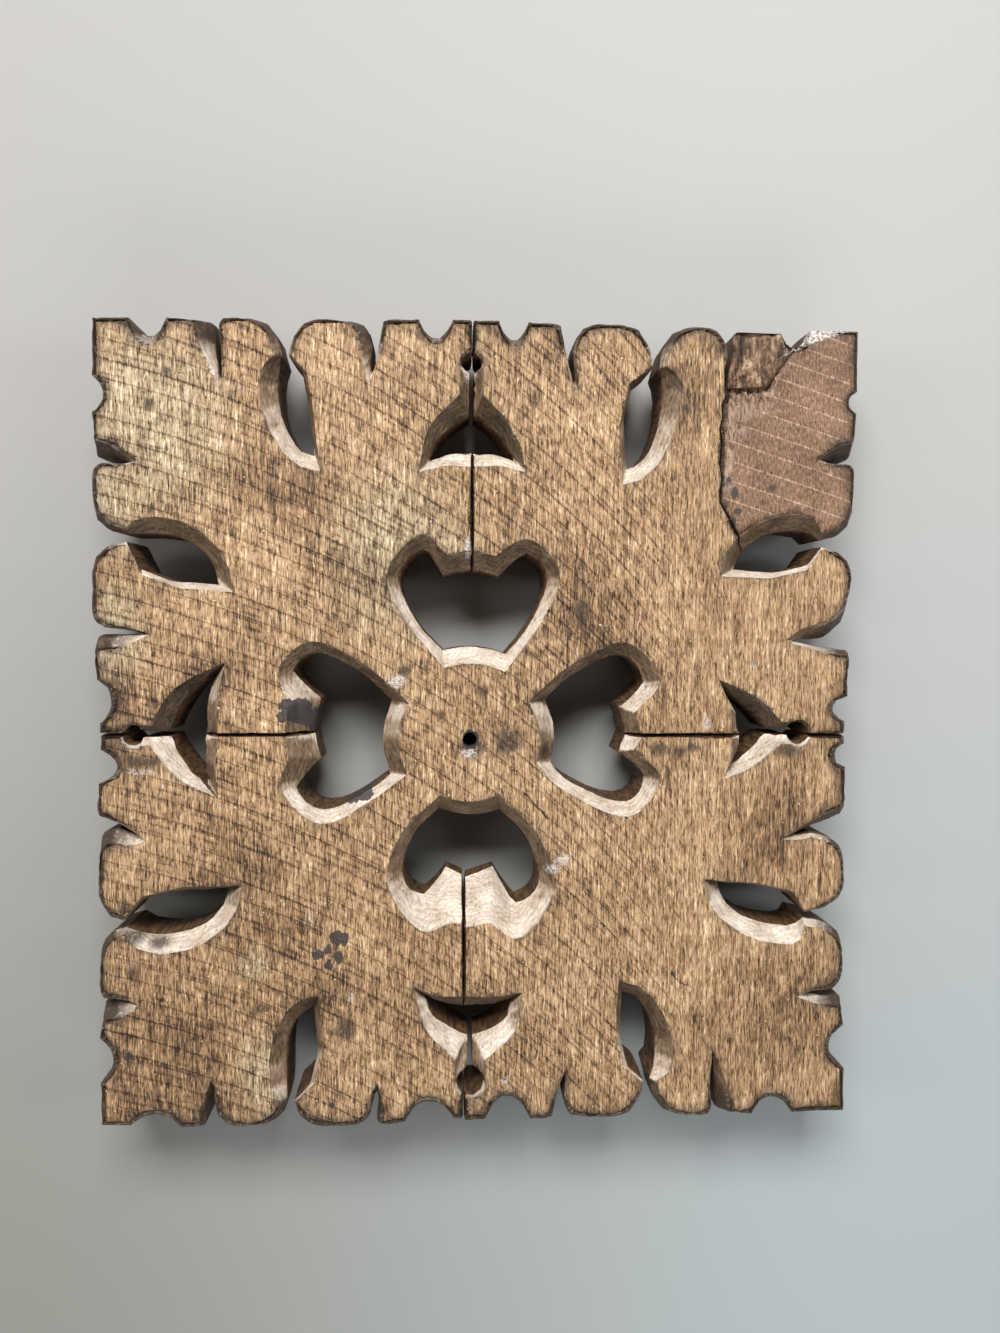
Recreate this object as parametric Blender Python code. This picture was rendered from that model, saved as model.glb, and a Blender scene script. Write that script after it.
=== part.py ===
import math

import bpy
import numpy as np
from mathutils import Vector
from mathutils.geometry import delaunay_2d_cdt

for old in list(bpy.data.objects):
    bpy.data.objects.remove(old, do_unlink=True)

# All sizes are in millimetres and turned to metres when a mesh is made.
# The board lies as on a ceiling: its sawn back looks up at z = 0 and its carved face looks down.
# Distances across and along are taken from the screw hole in the middle.
metre = 0.001

reach_top = 136.0
reach_bottom = 128.0
reach_left = 121.5
reach_right = 128.7
thickness = 34.0

screw_hole_radius = 2.2
screw_hole_sides = 14

kerf_width = 1.0

# Knife-cut bevels round the back of every opening, and the wear along the outer edge
edge_wear = 0.9
bevel_slope = 1.15
least_bevel_depth = 0.8
notch_bevel = 1.0
slot_width = 1.9
slot_tip_bevel = 4.0
mouth_width = 2.0
mouth_inner_bevel = 0.8
mouth_outer_bevel = 2.2
gap_inner_bevel = 2.4
gap_outer_bevel = 5.2
gap_tip_bevel = 6.5
tab_round = 1.6
shoulder_width = 9.5
bow_reach = 118.0
bow_depth = 14.0
gap_belly = 19.5

# Each half side runs from the saw kerf in its middle to the corner: a tab with an edge nick, slot b, lobe b,
# the leaf gap, lobe a, slot a and a tab with a corner nick. Depths are taken inwards from the edge. Places along the side
# add up to the corner, and the whole run stretches with the side.
half_edges = {
    "top_left": dict(
        bow=1.2, tab_set=-0.2, notch_in=5.9, notch_out=16.9, notch_depth=5.3,
        slot_b=29.5, slot_b_tip=33.0, slot_b_depth=19.5, lobe_b_round=7.5,
        slot_b_tab_cut=1.0, slot_b_lobe_cut=4.0,
        gap=60.0, gap_mouth=11.5, gap_in=51.0, gap_out=68.2, gap_tip=48.9, gap_depth=48.5,
        lobe_a_round=3.0, slot_a=82.6, slot_a_tip=80.7, slot_a_depth=22.0,
        slot_a_tab_cut=5.8, slot_a_lobe_cut=0.6,
        corner_in=97.9, corner_out=109.8, corner_depth=5.0, corner_bevel=3.6, corner_end=11.7,
    ),
    "top_right": dict(
        bow=1.0, tab_set=-0.4, notch_in=9.3, notch_out=18.8, notch_depth=5.6,
        slot_b=30.6, slot_b_tip=35.0, slot_b_depth=22.2, lobe_b_round=9.0,
        slot_b_tab_cut=1.6, slot_b_lobe_cut=1.0,
        gap=61.1, gap_mouth=13.2, gap_in=48.9, gap_out=69.0, gap_tip=50.1, gap_depth=51.6,
        lobe_a_round=9.0, slot_a=87.4, slot_a_tip=83.9, slot_a_depth=22.5,
        slot_a_tab_cut=2.0, slot_a_lobe_cut=1.0,
        corner_in=104.4, corner_out=112.6, corner_depth=5.0, corner_bevel=3.2, corner_end=16.1,
    ),
    "right_top": dict(
        bow=-0.5, tab_set=1.9, notch_in=6.2, notch_out=14.4, notch_depth=3.8,
        slot_b=31.0, slot_b_tip=33.5, slot_b_depth=23.0, lobe_b_round=13.0,
        slot_b_tab_cut=2.6, slot_b_lobe_cut=5.4,
        gap=65.7, gap_mouth=11.5, gap_in=54.0, gap_out=75.4, gap_tip=54.5, gap_depth=45.4,
        lobe_a_round=3.0, slot_a=93.0, slot_a_tip=93.4, slot_a_depth=13.2,
        slot_a_tab_cut=5.6, slot_a_lobe_cut=0.8,
        corner_in=108.8, corner_out=116.0, corner_depth=2.8, corner_bevel=0.6, corner_end=20.0,
    ),
    "right_bottom": dict(
        bow=-1.2, tab_set=1.4, notch_in=1.6, notch_out=9.4, notch_depth=3.2,
        slot_b=27.0, slot_b_tip=33.6, slot_b_depth=23.6, lobe_b_round=13.0,
        slot_b_tab_cut=4.2, slot_b_lobe_cut=1.6,
        gap=59.9, gap_mouth=15.2, gap_in=48.6, gap_out=69.7, gap_tip=47.3, gap_depth=49.6,
        lobe_a_round=8.0, slot_a=87.2, slot_a_tip=87.4, slot_a_depth=17.4,
        slot_a_tab_cut=3.4, slot_a_lobe_cut=1.0,
        corner_in=98.0, corner_out=113.0, corner_depth=5.2, corner_bevel=1.4, corner_end=15.0,
    ),
    "bottom_right": dict(
        bow=0.8, tab_set=0.2, notch_in=5.6, notch_out=20.6, notch_depth=7.2,
        slot_b=29.2, slot_b_tip=33.1, slot_b_depth=17.2, lobe_b_round=7.0,
        slot_b_tab_cut=1.0, slot_b_lobe_cut=1.6,
        gap=60.2, gap_mouth=12.4, gap_in=49.6, gap_out=69.0, gap_tip=50.3, gap_depth=46.4,
        lobe_a_round=3.0, slot_a=84.0, slot_a_tip=82.6, slot_a_depth=22.6,
        slot_a_tab_cut=4.6, slot_a_lobe_cut=0.6,
        corner_in=96.5, corner_out=110.4, corner_depth=5.2, corner_bevel=1.6, corner_end=18.3,
    ),
    "bottom_left": dict(
        bow=1.9, tab_set=1.6, notch_in=5.2, notch_out=21.4, notch_depth=4.8,
        slot_b=32.2, slot_b_tip=30.4, slot_b_depth=13.0, lobe_b_round=5.5,
        slot_b_tab_cut=2.2, slot_b_lobe_cut=1.2,
        gap=59.3, gap_mouth=8.4, gap_in=48.8, gap_out=66.2, gap_tip=50.0, gap_depth=43.0,
        lobe_a_round=8.5, slot_a=86.4, slot_a_tip=85.2, slot_a_depth=15.2,
        slot_a_tab_cut=1.4, slot_a_lobe_cut=1.2,
        corner_in=95.2, corner_out=112.0, corner_depth=3.8, corner_bevel=1.2, corner_end=9.5,
    ),
    "left_bottom": dict(
        bow=0.2, tab_set=1.4, notch_in=3.2, notch_out=14.2, notch_depth=4.6,
        slot_b=25.4, slot_b_tip=33.0, slot_b_depth=15.8, lobe_b_round=6.0,
        slot_b_tab_cut=1.0, slot_b_lobe_cut=5.0,
        gap=60.6, gap_mouth=8.8, gap_in=48.4, gap_out=70.4, gap_tip=48.0, gap_depth=46.8,
        lobe_a_round=3.0, slot_a=86.2, slot_a_tip=87.6, slot_a_depth=12.6,
        slot_a_tab_cut=6.0, slot_a_lobe_cut=0.8,
        corner_in=98.6, corner_out=113.4, corner_depth=3.8, corner_bevel=1.6, corner_end=14.6,
    ),
    "left_top": dict(
        bow=1.0, tab_set=2.0, notch_in=5.6, notch_out=19.6, notch_depth=3.0,
        slot_b=35.6, slot_b_tip=34.6, slot_b_depth=17.8, lobe_b_round=5.5,
        slot_b_tab_cut=5.4, slot_b_lobe_cut=0.8,
        gap=65.6, gap_mouth=10.7, gap_in=49.6, gap_out=72.4, gap_tip=48.4, gap_depth=44.4,
        lobe_a_round=4.0, slot_a=91.0, slot_a_tip=90.2, slot_a_depth=14.0,
        slot_a_tab_cut=5.6, slot_a_lobe_cut=0.8,
        corner_in=105.8, corner_out=117.4, corner_depth=3.2, corner_bevel=1.0, corner_end=18.6,
    ),
}

# The middle of each side, outwards from the screw hole: a heart on the disc, then a bell-shaped piercing with a slot
# and a keyhole, and last the rim left outside it. These too stretch with the board's reach on that side.
# The first half is the one met first going clockwise round the back.
arrow_slot_half = 1.1
keyhole_bevel = 0.8
arrow_side_bevel = 3.6
disc_bevel = 5.6

middles = {
    "top": dict(
        kerf=0.6, axis=0.3, disc=25.4, keyhole=123.4, rim=12.6, keyhole_radius=3.2, neck_half=3.8,
        shoulder=113.0, arch_fall=5.4, base=89.8, base_bevel=4.8, tongue=60.6, tongue_bevel=6.4,
        crown_bevel=4.4, side_bevel=4.0,
        first=dict(
            wing=17.0, wing_out=87.8, arch=13.4, arch_out=102.2, tongue_half=7.6, crown=16.4, crown_out=67.4,
            far=27.2, far_out=54.5, waist=20.4, waist_out=38.2, foot=8.4,
        ),
        second=dict(
            wing=18.0, wing_out=88.2, arch=13.0, arch_out=102.6, tongue_half=8.2, crown=19.4, crown_out=66.2,
            far=29.4, far_out=54.5, waist=22.6, waist_out=37.6, foot=11.4,
        ),
    ),
    "right": dict(
        kerf=1.5, axis=2.2, disc=23.2, keyhole=110.4, rim=18.3, keyhole_radius=3.6, neck_half=3.6,
        shoulder=104.6, arch_fall=4.2, base=88.0, base_bevel=2.6, tongue=54.6, tongue_bevel=4.6,
        crown_bevel=4.6, side_bevel=4.4,
        first=dict(
            wing=20.0, wing_out=83.2, arch=13.6, arch_out=96.6, tongue_half=9.0, crown=20.0, crown_out=63.0,
            far=32.4, far_out=51.4, waist=24.4, waist_out=33.0, foot=12.6,
        ),
        second=dict(
            wing=12.9, wing_out=85.4, arch=9.6, arch_out=94.2, tongue_half=3.4, crown=13.4, crown_out=63.6,
            far=25.8, far_out=52.6, waist=16.8, waist_out=31.4, foot=7.4,
        ),
    ),
    "bottom": dict(
        kerf=-1.8, axis=0.4, disc=20.6, keyhole=115.4, rim=12.6, keyhole_radius=4.4, neck_half=5.4,
        shoulder=107.6, arch_fall=5.6, base=86.0, base_bevel=4.6, tongue=61.0, tongue_bevel=15.0,
        crown_bevel=9.4, side_bevel=5.0,
        first=dict(
            wing=17.6, wing_out=85.0, arch=15.2, arch_out=98.2, tongue_half=6.8, crown=17.2, crown_out=66.4,
            far=28.2, far_out=50.0, waist=22.6, waist_out=32.0, foot=9.4,
        ),
        second=dict(
            wing=18.4, wing_out=82.8, arch=14.6, arch_out=96.6, tongue_half=6.4, crown=16.4, crown_out=63.4,
            far=27.2, far_out=48.0, waist=22.4, waist_out=31.0, foot=9.6,
        ),
    ),
    "left": dict(
        kerf=1.8, axis=1.6, disc=23.6, keyhole=109.6, rim=11.9, keyhole_radius=3.2, neck_half=3.2,
        shoulder=104.0, arch_fall=5.0, base=82.4, base_bevel=4.4, tongue=59.4, tongue_bevel=9.6,
        crown_bevel=4.2, side_bevel=4.2,
        first=dict(
            wing=18.6, wing_out=82.6, arch=12.4, arch_out=95.2, tongue_half=5.6, crown=17.0, crown_out=61.6,
            far=27.6, far_out=49.0, waist=20.4, waist_out=33.4, foot=11.4,
        ),
        second=dict(
            wing=25.4, wing_out=79.8, arch=17.0, arch_out=95.8, tongue_half=11.6, crown=23.4, crown_out=62.4,
            far=32.4, far_out=51.6, waist=25.0, waist_out=35.0, foot=12.2,
        ),
    ),
}

# Carved face, hidden in the photograph: a plain button on the disc and leaves with a hollow midrib and side veins
button_radius = 17.5
button_foot_radius = 21.0
button_height = 4.0
leaf_fall = 6.0
face_edge_drop = 2.2
face_edge_share = 0.35
vein_depth = 2.6
vein_half_width = 3.2
midrib_from = 0.24
midrib_to = 0.86
vein_starts = (0.40, 0.60)
vein_ends = ((0.30, 0.84), (0.60, 0.90))
edge_margin = 1.6

# The corner let into the board, the joint round it and the torn place on its back
joint_gap = 0.3
joint_waver = 0.45
joint_in_slot = 0.5
joint_below_slot = 2.5
patch_left = 83.0
patch_foot = 79.0
joint_end_in = 38.5
joint_end_out = 66.0
joint_past_tip = 3.6
torn_start = 74.7
torn_down = 20.0
torn_elbow = 97.6
torn_rise = 1.2
torn_in_nick = 0.8
torn_depth = 1.6
torn_fall = 4.0
beyond = 8.0


# Points on the quarter ellipse from a side, left upright, to a level top, with both ends
def shoulder(side, low, top, high, steps=3):
    turns = [math.pi / 2 * i / steps for i in range(steps + 1)]
    return [(side + (top - side) * (1 - math.cos(a)), low + (high - low) * math.sin(a)) for a in turns]


# A rounded dip between two places on the edge, without its ends
def dip(start, end, level, depth, steps=5):
    shares = [i / steps for i in range(1, steps)]
    return [(start + (end - start) * s, level + depth * math.sin(math.pi * s) ** 0.7) for s in shares]


# Points on the smooth curve through a few places, with the first and the last
def smooth(places, steps=3):
    p = [np.array(q, float) for q in places]
    p = [2 * p[0] - p[1]] + p + [2 * p[-1] - p[-2]]
    found = []
    for a, b, c, d in zip(p, p[1:], p[2:], p[3:]):
        for i in range(steps):
            t = i / steps
            found.append(
                0.5 * (2 * b + (c - a) * t + (2 * a - 5 * b + 4 * c - d) * t * t + (3 * b - a - 3 * c + d) * t**3)
            )
    return [tuple(q) for q in found] + [tuple(p[-2])]


def between(a, b, share):
    return a + (b - a) * share


# The middle of a slot at a depth, as it leans from its mouth to its tip
def slot_line(h, slot, depth):
    return h[slot] + (h[slot + "_tip"] - h[slot]) * depth / h[slot + "_depth"]


def slot_end(h, slot, on_back):
    depth = h[slot + "_depth"] - (0.0 if on_back else slot_tip_bevel)
    return (slot_line(h, slot, depth), depth)


# One side of a slot from the edge inwards. Its bevel is widest at the mouth and runs out at the tip.
def slot_side(h, slot, way, cut, rounding, on_back):
    wear, cut = (edge_wear, cut) if on_back else (0.0, 0.0)
    depth = slot_end(h, slot, on_back)[1]
    first = slot_line(h, slot, rounding) + way * (slot_width / 2 + cut * 0.9)
    last = h[slot] + way * (slot_width / 2 + cut + rounding)
    points = shoulder(first, rounding, last, wear)[::-1]
    for share, part_of_cut in ((0.34, 0.72), (0.67, 0.4)):
        along = between(rounding, depth, share)
        points.append((slot_line(h, slot, along) + way * (slot_width / 2 * (1.3 - share) + cut * part_of_cut), along))
    return points


# How far a half side is stretched to end at its corner, and the middle of a side to end at the edge
def along_stretch(h, reach):
    return reach / (h["corner_out"] + h["corner_end"])


def out_stretch(m, reach):
    return reach / (m["keyhole"] + m["rim"])


# A side bows out or in between its corners
def bowed(h, along, inwards, stretch):
    swell = 1.0 - min(1.0, along / bow_reach) ** 4
    return (along * stretch, inwards - h["bow"] * swell * (1.0 - min(1.0, max(0.0, inwards / bow_depth))))


# One half side as (along, inwards) pairs, on the back face or, one bevel further in, in the opening
def half_edge(h, stretch, on_back):
    wear = edge_wear if on_back else 0.0
    tab = h["tab_set"] + wear
    before_gap = mouth_width / 2 + (mouth_inner_bevel if on_back else 0.0)
    after_gap = mouth_width / 2 + (mouth_outer_bevel if on_back else 0.0)
    nick = notch_bevel if on_back else 0.0
    inner = h["gap_in"] + (0.0 if on_back else gap_inner_bevel)
    outer = h["gap_out"] - (0.0 if on_back else gap_outer_bevel)
    gap_end = h["gap_depth"] - (0.0 if on_back else gap_tip_bevel)
    gap_tip = h["gap_tip"] + (0.0 if on_back else gap_tip_bevel * 0.45)
    points = [(h["notch_in"], tab)]
    points += dip(h["notch_in"], h["notch_out"], tab, h["notch_depth"] + nick)
    points += [(h["notch_out"], between(tab, wear, 0.5))]

    points += slot_side(h, "slot_b", -1, h["slot_b_tab_cut"], tab_round, on_back)
    points.append(slot_end(h, "slot_b", on_back))
    points += slot_side(h, "slot_b", 1, h["slot_b_lobe_cut"], h["lobe_b_round"], on_back)[::-1]

    # The leaf gap, with lobe b before it and lobe a after it
    mouth = h["gap_mouth"]
    start = h["gap"] - before_gap
    points += shoulder(start, mouth, start - shoulder_width, wear)[::-1]
    inner_belly = between(mouth, gap_end, 0.5)
    for turn in (0.5, 1.0):
        a = math.pi / 2 * turn
        points.append((start - (start - inner) * math.sin(a), mouth + (inner_belly - mouth) * (1 - math.cos(a))))
    points += [(between(inner, gap_tip, 0.45), between(inner_belly, gap_end, 0.55)), (gap_tip, gap_end)]
    for turn in (0.22, 0.42, 0.62, 0.8, 1.0):
        a = math.pi / 2 * turn
        points.append((gap_tip + (outer - gap_tip) * math.sin(a), gap_end - (gap_end - gap_belly) * (1 - math.cos(a))))
    end = h["gap"] + after_gap
    points.append((between(end, outer, 0.72), between(mouth, gap_belly, 0.36)))
    points += shoulder(end, mouth, end + shoulder_width, wear)

    points += slot_side(h, "slot_a", -1, h["slot_a_lobe_cut"], h["lobe_a_round"], on_back)
    points.append(slot_end(h, "slot_a", on_back))
    points += slot_side(h, "slot_a", 1, h["slot_a_tab_cut"], tab_round, on_back)[::-1]
    points.append((h["corner_in"], wear))
    nick = h["corner_bevel"] if on_back else 0.0
    points += dip(h["corner_in"], h["corner_out"], wear, h["corner_depth"] - wear + nick)
    points += [(h["corner_out"], wear)]
    return [bowed(h, along, inwards, stretch) for along, inwards in points]


# One half of the middle of a side as (across, out from the screw hole) pairs, from the outer edge to the heart's foot.
# Across is counted away from the axis, and wall is where this side of the kerf stands. The sizes of the piercing's wing
# and of the heart are counted from the screw hole's own line, which is aside of the axis by shift.
def half_middle(m, half, wall, shift, on_back, edge, stretch):
    back = 1.0 if on_back else 0.0
    less = 1.0 - back
    radius = m["keyhole_radius"] + keyhole_bevel * back
    neck = between(arrow_slot_half, m["neck_half"], back)
    shoulder_out = m["shoulder"] - m["arch_fall"] * less
    base = m["base"] + m["base_bevel"] * less
    side = arrow_side_bevel * less
    side_bevel = m["side_bevel"] * less
    disc = m["disc"] + disc_bevel * less
    tongue = m["tongue"] - m["tongue_bevel"] * less
    tongue_half = half["tongue_half"] + shift + 1.6 * less
    crown_out = half["crown_out"] - m["crown_bevel"] * less

    high = math.asin(max(-0.95, min(0.95, wall / radius)))
    neck = min(neck, radius * 0.94)
    low = math.pi - math.asin(neck / radius)
    points = []
    for i in range(6):
        a = between(high, low, i / 5)
        points.append((radius * math.sin(a), m["keyhole"] + radius * math.cos(a)))
    wing = (half["wing"] + shift - side, half["wing_out"] + m["base_bevel"] * less)
    arch = (half["arch"] + shift - side, half["arch_out"] - 2.0 * less)
    points += smooth([(neck, shoulder_out), arch, wing], 3)
    points += [(between(wing[0], wall, 0.5), between(wing[1], base, 0.7) + 0.9), (wall, base)]
    crown = (half["crown"] + shift - side_bevel * 0.2, crown_out)
    far = (half["far"] + shift - side_bevel, half["far_out"] - 1.0 * less)
    waist = (half["waist"] + shift - side_bevel * 0.7, half["waist_out"] + side_bevel * 0.35)
    foot_across = half["foot"] + 0.6 * less
    foot = (foot_across + shift, math.sqrt(disc**2 - foot_across**2))
    points += [(wall, between(tongue, crown_out, 0.3))]
    points += smooth([(tongue_half, tongue), crown, far, waist, foot], 4)
    return [(wall, edge)] + [(across, out * stretch) for across, out in points]


def disc_arc(m, on_back, stretch, steps=4):
    disc = m["disc"] + (0.0 if on_back else disc_bevel)
    more = 0.0 if on_back else 0.6
    first, second = m["first"]["foot"] + more, m["second"]["foot"] + more
    start, end = -math.asin(first / disc), math.asin(second / disc)
    turns = [between(start, end, i / steps) for i in range(1, steps)]
    return [(disc * math.sin(a), disc * math.cos(a) * stretch) for a in turns]


# Going clockwise seen from the back: along is the way of travel on a side, out points from the screw hole to it, and the
# first and last reach are those of the corners before and after it.
# The axis of a side is on the same side of the hole as its kerf: to the right, or up.
sides = (
    ("top", (1, 0), (0, 1), (reach_left, reach_top, reach_right), "top_left", "top_right", 1),
    ("right", (0, -1), (1, 0), (reach_top, reach_right, reach_bottom), "right_top", "right_bottom", -1),
    ("bottom", (-1, 0), (0, -1), (reach_right, reach_bottom, reach_left), "bottom_right", "bottom_left", -1),
    ("left", (0, 1), (-1, 0), (reach_bottom, reach_left, reach_top), "left_bottom", "left_top", 1),
)
corners = (
    (reach_right, reach_top),
    (reach_right, -reach_bottom),
    (-reach_left, -reach_bottom),
    (-reach_left, reach_top),
)


# The whole outline: the kerfs join the outer edge, the piercings and the hearts into one line
def outline(on_back):
    wear = edge_wear if on_back else 0.0
    line = []
    for (name, along, out, reaches, first, second, turn), corner in zip(sides, corners):
        m = middles[name]
        reach = reaches[1]
        stretch = out_stretch(m, reach)
        kerf, axis = m["kerf"] * turn, m["axis"] * turn

        def place(across, away):
            return (along[0] * across + out[0] * away, along[1] * across + out[1] * away)

        before, after = half_edges[first], half_edges[second]
        line += [place(-u, reach - v) for u, v in half_edge(before, along_stretch(before, reaches[0]), on_back)[::-1]]
        edge = reach - bowed(before, 0.0, before["tab_set"] + wear, 1.0)[1]
        wall = axis - (kerf - kerf_width / 2)
        line += [place(axis - u, w) for u, w in half_middle(m, m["first"], wall, axis, on_back, edge, stretch)]
        line += [place(u, w) for u, w in disc_arc(m, on_back, stretch)]
        edge = reach - bowed(after, 0.0, after["tab_set"] + wear, 1.0)[1]
        wall = kerf + kerf_width / 2 - axis
        line += [place(axis + u, w) for u, w in half_middle(m, m["second"], wall, -axis, on_back, edge, stretch)[::-1]]
        line += [place(u, reach - v) for u, v in half_edge(after, along_stretch(after, reaches[2]), on_back)]
        line.append(tuple(c - math.copysign(wear, c) for c in corner))
    return np.array(line)


def inside(points, line):
    x, y = points[:, 0][:, None], points[:, 1][:, None]
    a, b = line, np.roll(line, -1, axis=0)
    rise = np.where(b[:, 1] == a[:, 1], 1e-9, b[:, 1] - a[:, 1])
    hit = (a[:, 1] > y) != (b[:, 1] > y)
    hit &= x < (b[:, 0] - a[:, 0]) * (y - a[:, 1]) / rise + a[:, 0]
    return hit.sum(axis=1) % 2 == 1


def distance_to(points, line):
    a, b = line, np.roll(line, -1, axis=0)
    run = b - a
    share = ((points[:, None] - a) * run).sum(-1) / np.maximum((run**2).sum(-1), 1e-12)
    near = a + np.clip(share, 0, 1)[..., None] * run
    return np.linalg.norm(points[:, None] - near, axis=-1).min(axis=1)


# Depth of the carved face below the back: the leaves fall away towards the edge
def face_depth(points):
    r = np.linalg.norm(points, axis=1) / math.hypot(reach_right, reach_top)
    return thickness - button_height - leaf_fall * r**1.5


# Places on the carved face inside its edge, with their depths
def face_places(line):
    places, depths = [], []

    def add(found, deeper):
        found = np.array(found)
        places.append(found)
        depths.append(face_depth(found) + deeper)

    turns = [2 * math.pi * (i + 0.5) / 16 for i in range(16)]
    ring = np.array([(math.cos(a), math.sin(a)) for a in turns])
    places.append(ring * button_radius)
    depths.append(np.full(16, thickness))
    add(ring * button_foot_radius, 0.0)
    for corner in corners:
        corner = np.array(corner)
        lines = [(corner * midrib_from, corner * midrib_to)]
        for start, end in zip(vein_starts, vein_ends):
            lines += [(corner * start, corner * end), (corner * start, corner * end[::-1])]
        for start, end in lines:
            run = end - start
            aside = np.array((-run[1], run[0])) / np.linalg.norm(run) * vein_half_width
            count = max(3, round(np.linalg.norm(run) / 12))
            bed = np.array([start + run * (i + 0.5) / count for i in range(count)])
            add(bed, -vein_depth)
            add(np.concatenate([bed + aside, bed - aside]), 0.0)
    places, depths = np.concatenate(places), np.concatenate(depths)
    kept = inside(places, line) & (distance_to(places, line) > edge_margin)
    places, depths = places[kept], depths[kept]
    apart = []
    for i, place in enumerate(places):
        if all(np.linalg.norm(place - places[j]) > 2.2 for j in apart):
            apart.append(i)
    return places[apart], depths[apart]


# Triangles of a face with this outline, a round hole in its middle and these places inside it
def filled(line, hole, more):
    points = np.concatenate([line, hole, more]) if len(more) else np.concatenate([line, hole])
    edges = [(i, (i + 1) % len(line)) for i in range(len(line))]
    edges += [(len(line) + i, len(line) + (i + 1) % len(hole)) for i in range(len(hole))]
    made = delaunay_2d_cdt([Vector(p) for p in points], edges, [], 0, 1e-7)
    if len(made[0]) != len(points):
        raise ValueError("the outline crosses itself")
    came_from = [ids[0] for ids in made[3]]
    faces = np.array([[came_from[i] for i in face] for face in made[2]])
    middle = points[faces].mean(axis=1)
    clear = inside(middle, line) & ~inside(middle, hole)
    return faces[clear]


def upward(points, faces):
    a, b, c = (points[faces[:, i]] for i in range(3))
    turn = (b[:, 0] - a[:, 0]) * (c[:, 1] - a[:, 1]) - (b[:, 1] - a[:, 1]) * (c[:, 0] - a[:, 0])
    return np.where((turn > 0)[:, None], faces, faces[:, ::-1])


def mesh_object(name, points, faces, material):
    mesh = bpy.data.meshes.new(name)
    mesh.from_pydata([tuple(p) for p in points * metre], [], [tuple(f) for f in faces])
    mesh.materials.append(material)
    made = bpy.data.objects.new(name, mesh)
    bpy.context.scene.collection.objects.link(made)
    return made


def wood(name, colour, roughness):
    made = bpy.data.materials.new(name)
    made.use_nodes = True
    shader = made.node_tree.nodes["Principled BSDF"]
    shader.inputs["Base Color"].default_value = (*colour, 1)
    shader.inputs["Roughness"].default_value = roughness
    return made


# The board before its corner was replaced: four rings of as many points, closed by the back and the carved face
def blank(name, material):
    back, opening = outline(True), outline(False)
    count = len(back)
    bevel = np.maximum(np.linalg.norm(back - opening, axis=1) * bevel_slope, least_bevel_depth)
    brink = between(opening, back, face_edge_share)
    brink_depth = face_depth(brink) - face_edge_drop
    turns = [2 * math.pi * i / screw_hole_sides for i in range(screw_hole_sides)]
    hole = np.array([(math.cos(a), -math.sin(a)) for a in turns]) * screw_hole_radius
    more, more_depth = face_places(brink)

    rings = [
        np.column_stack([back, np.zeros(count)]),
        np.column_stack([opening, -bevel]),
        np.column_stack([opening, -(brink_depth - face_edge_drop)]),
        np.column_stack([brink, -brink_depth]),
        np.column_stack([hole, np.zeros(len(hole))]),
        np.column_stack([hole, np.full(len(hole), -thickness)]),
        np.column_stack([more, -more_depth]),
    ]
    starts = np.cumsum([0] + [len(r) for r in rings])
    points = np.concatenate(rings)
    faces = []
    for upper in range(3):
        for i in range(count):
            a, b = starts[upper] + i, starts[upper] + (i + 1) % count
            c, d = a + count, b + count
            faces += [(a, b, c), (b, d, c)]
    for i in range(len(hole)):
        a, b = starts[4] + i, starts[4] + (i + 1) % len(hole)
        c, d = a + len(hole), b + len(hole)
        faces += [(b, a, c), (b, c, d)]

    top = filled(back, hole, ())
    ids = np.concatenate([np.arange(count), starts[4] + np.arange(len(hole))])
    faces += [tuple(f) for f in upward(points[:, :2], ids[top])]
    low = filled(brink, hole, more)
    ids = np.concatenate(
        [starts[3] + np.arange(count), starts[5] + np.arange(len(hole)), starts[6] + np.arange(len(more))]
    )
    faces += [tuple(f[::-1]) for f in upward(points[:, :2], ids[low])]
    return mesh_object(name, points, faces, material)


# The joint's line down slot a on the top side, down the let-in piece and out along the leaf gap on the right
def joint_line(aside):
    top, right = half_edges["top_right"], half_edges["right_top"]
    across, up = along_stretch(top, reach_right), along_stretch(right, reach_top)
    depth = top["slot_a_depth"]
    in_slot = aside - joint_in_slot
    line = [(top["slot_a"] * across - in_slot, reach_top + beyond)]
    for share in (0.0, 0.35, 0.7, 1.0):
        line.append((slot_line(top, "slot_a", depth * share) * across - in_slot, reach_top - depth * share))
    high = reach_top - depth - joint_below_slot
    for i in range(9):
        left = patch_left * across + joint_waver * math.sin(2.3 * i)
        line.append((left - aside, between(high, patch_foot * up, i / 8)))
    line.append((reach_right - joint_end_in - aside, joint_end_out * up - aside))
    opened = (right["gap_in"] + gap_inner_bevel) * up, (right["gap_out"] - gap_outer_bevel) * up
    far = reach_right - right["gap_depth"] + gap_tip_bevel
    line += [
        (far + joint_past_tip, between(opened[0], opened[1], 0.3)),
        (between(far, reach_right, 0.5), between(opened[0], opened[1], 0.5)),
        (reach_right - right["gap_mouth"], right["gap"] * up),
        (reach_right + beyond, right["gap"] * up),
        (reach_right + beyond, reach_top + beyond),
    ]
    return np.array(line)


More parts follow.
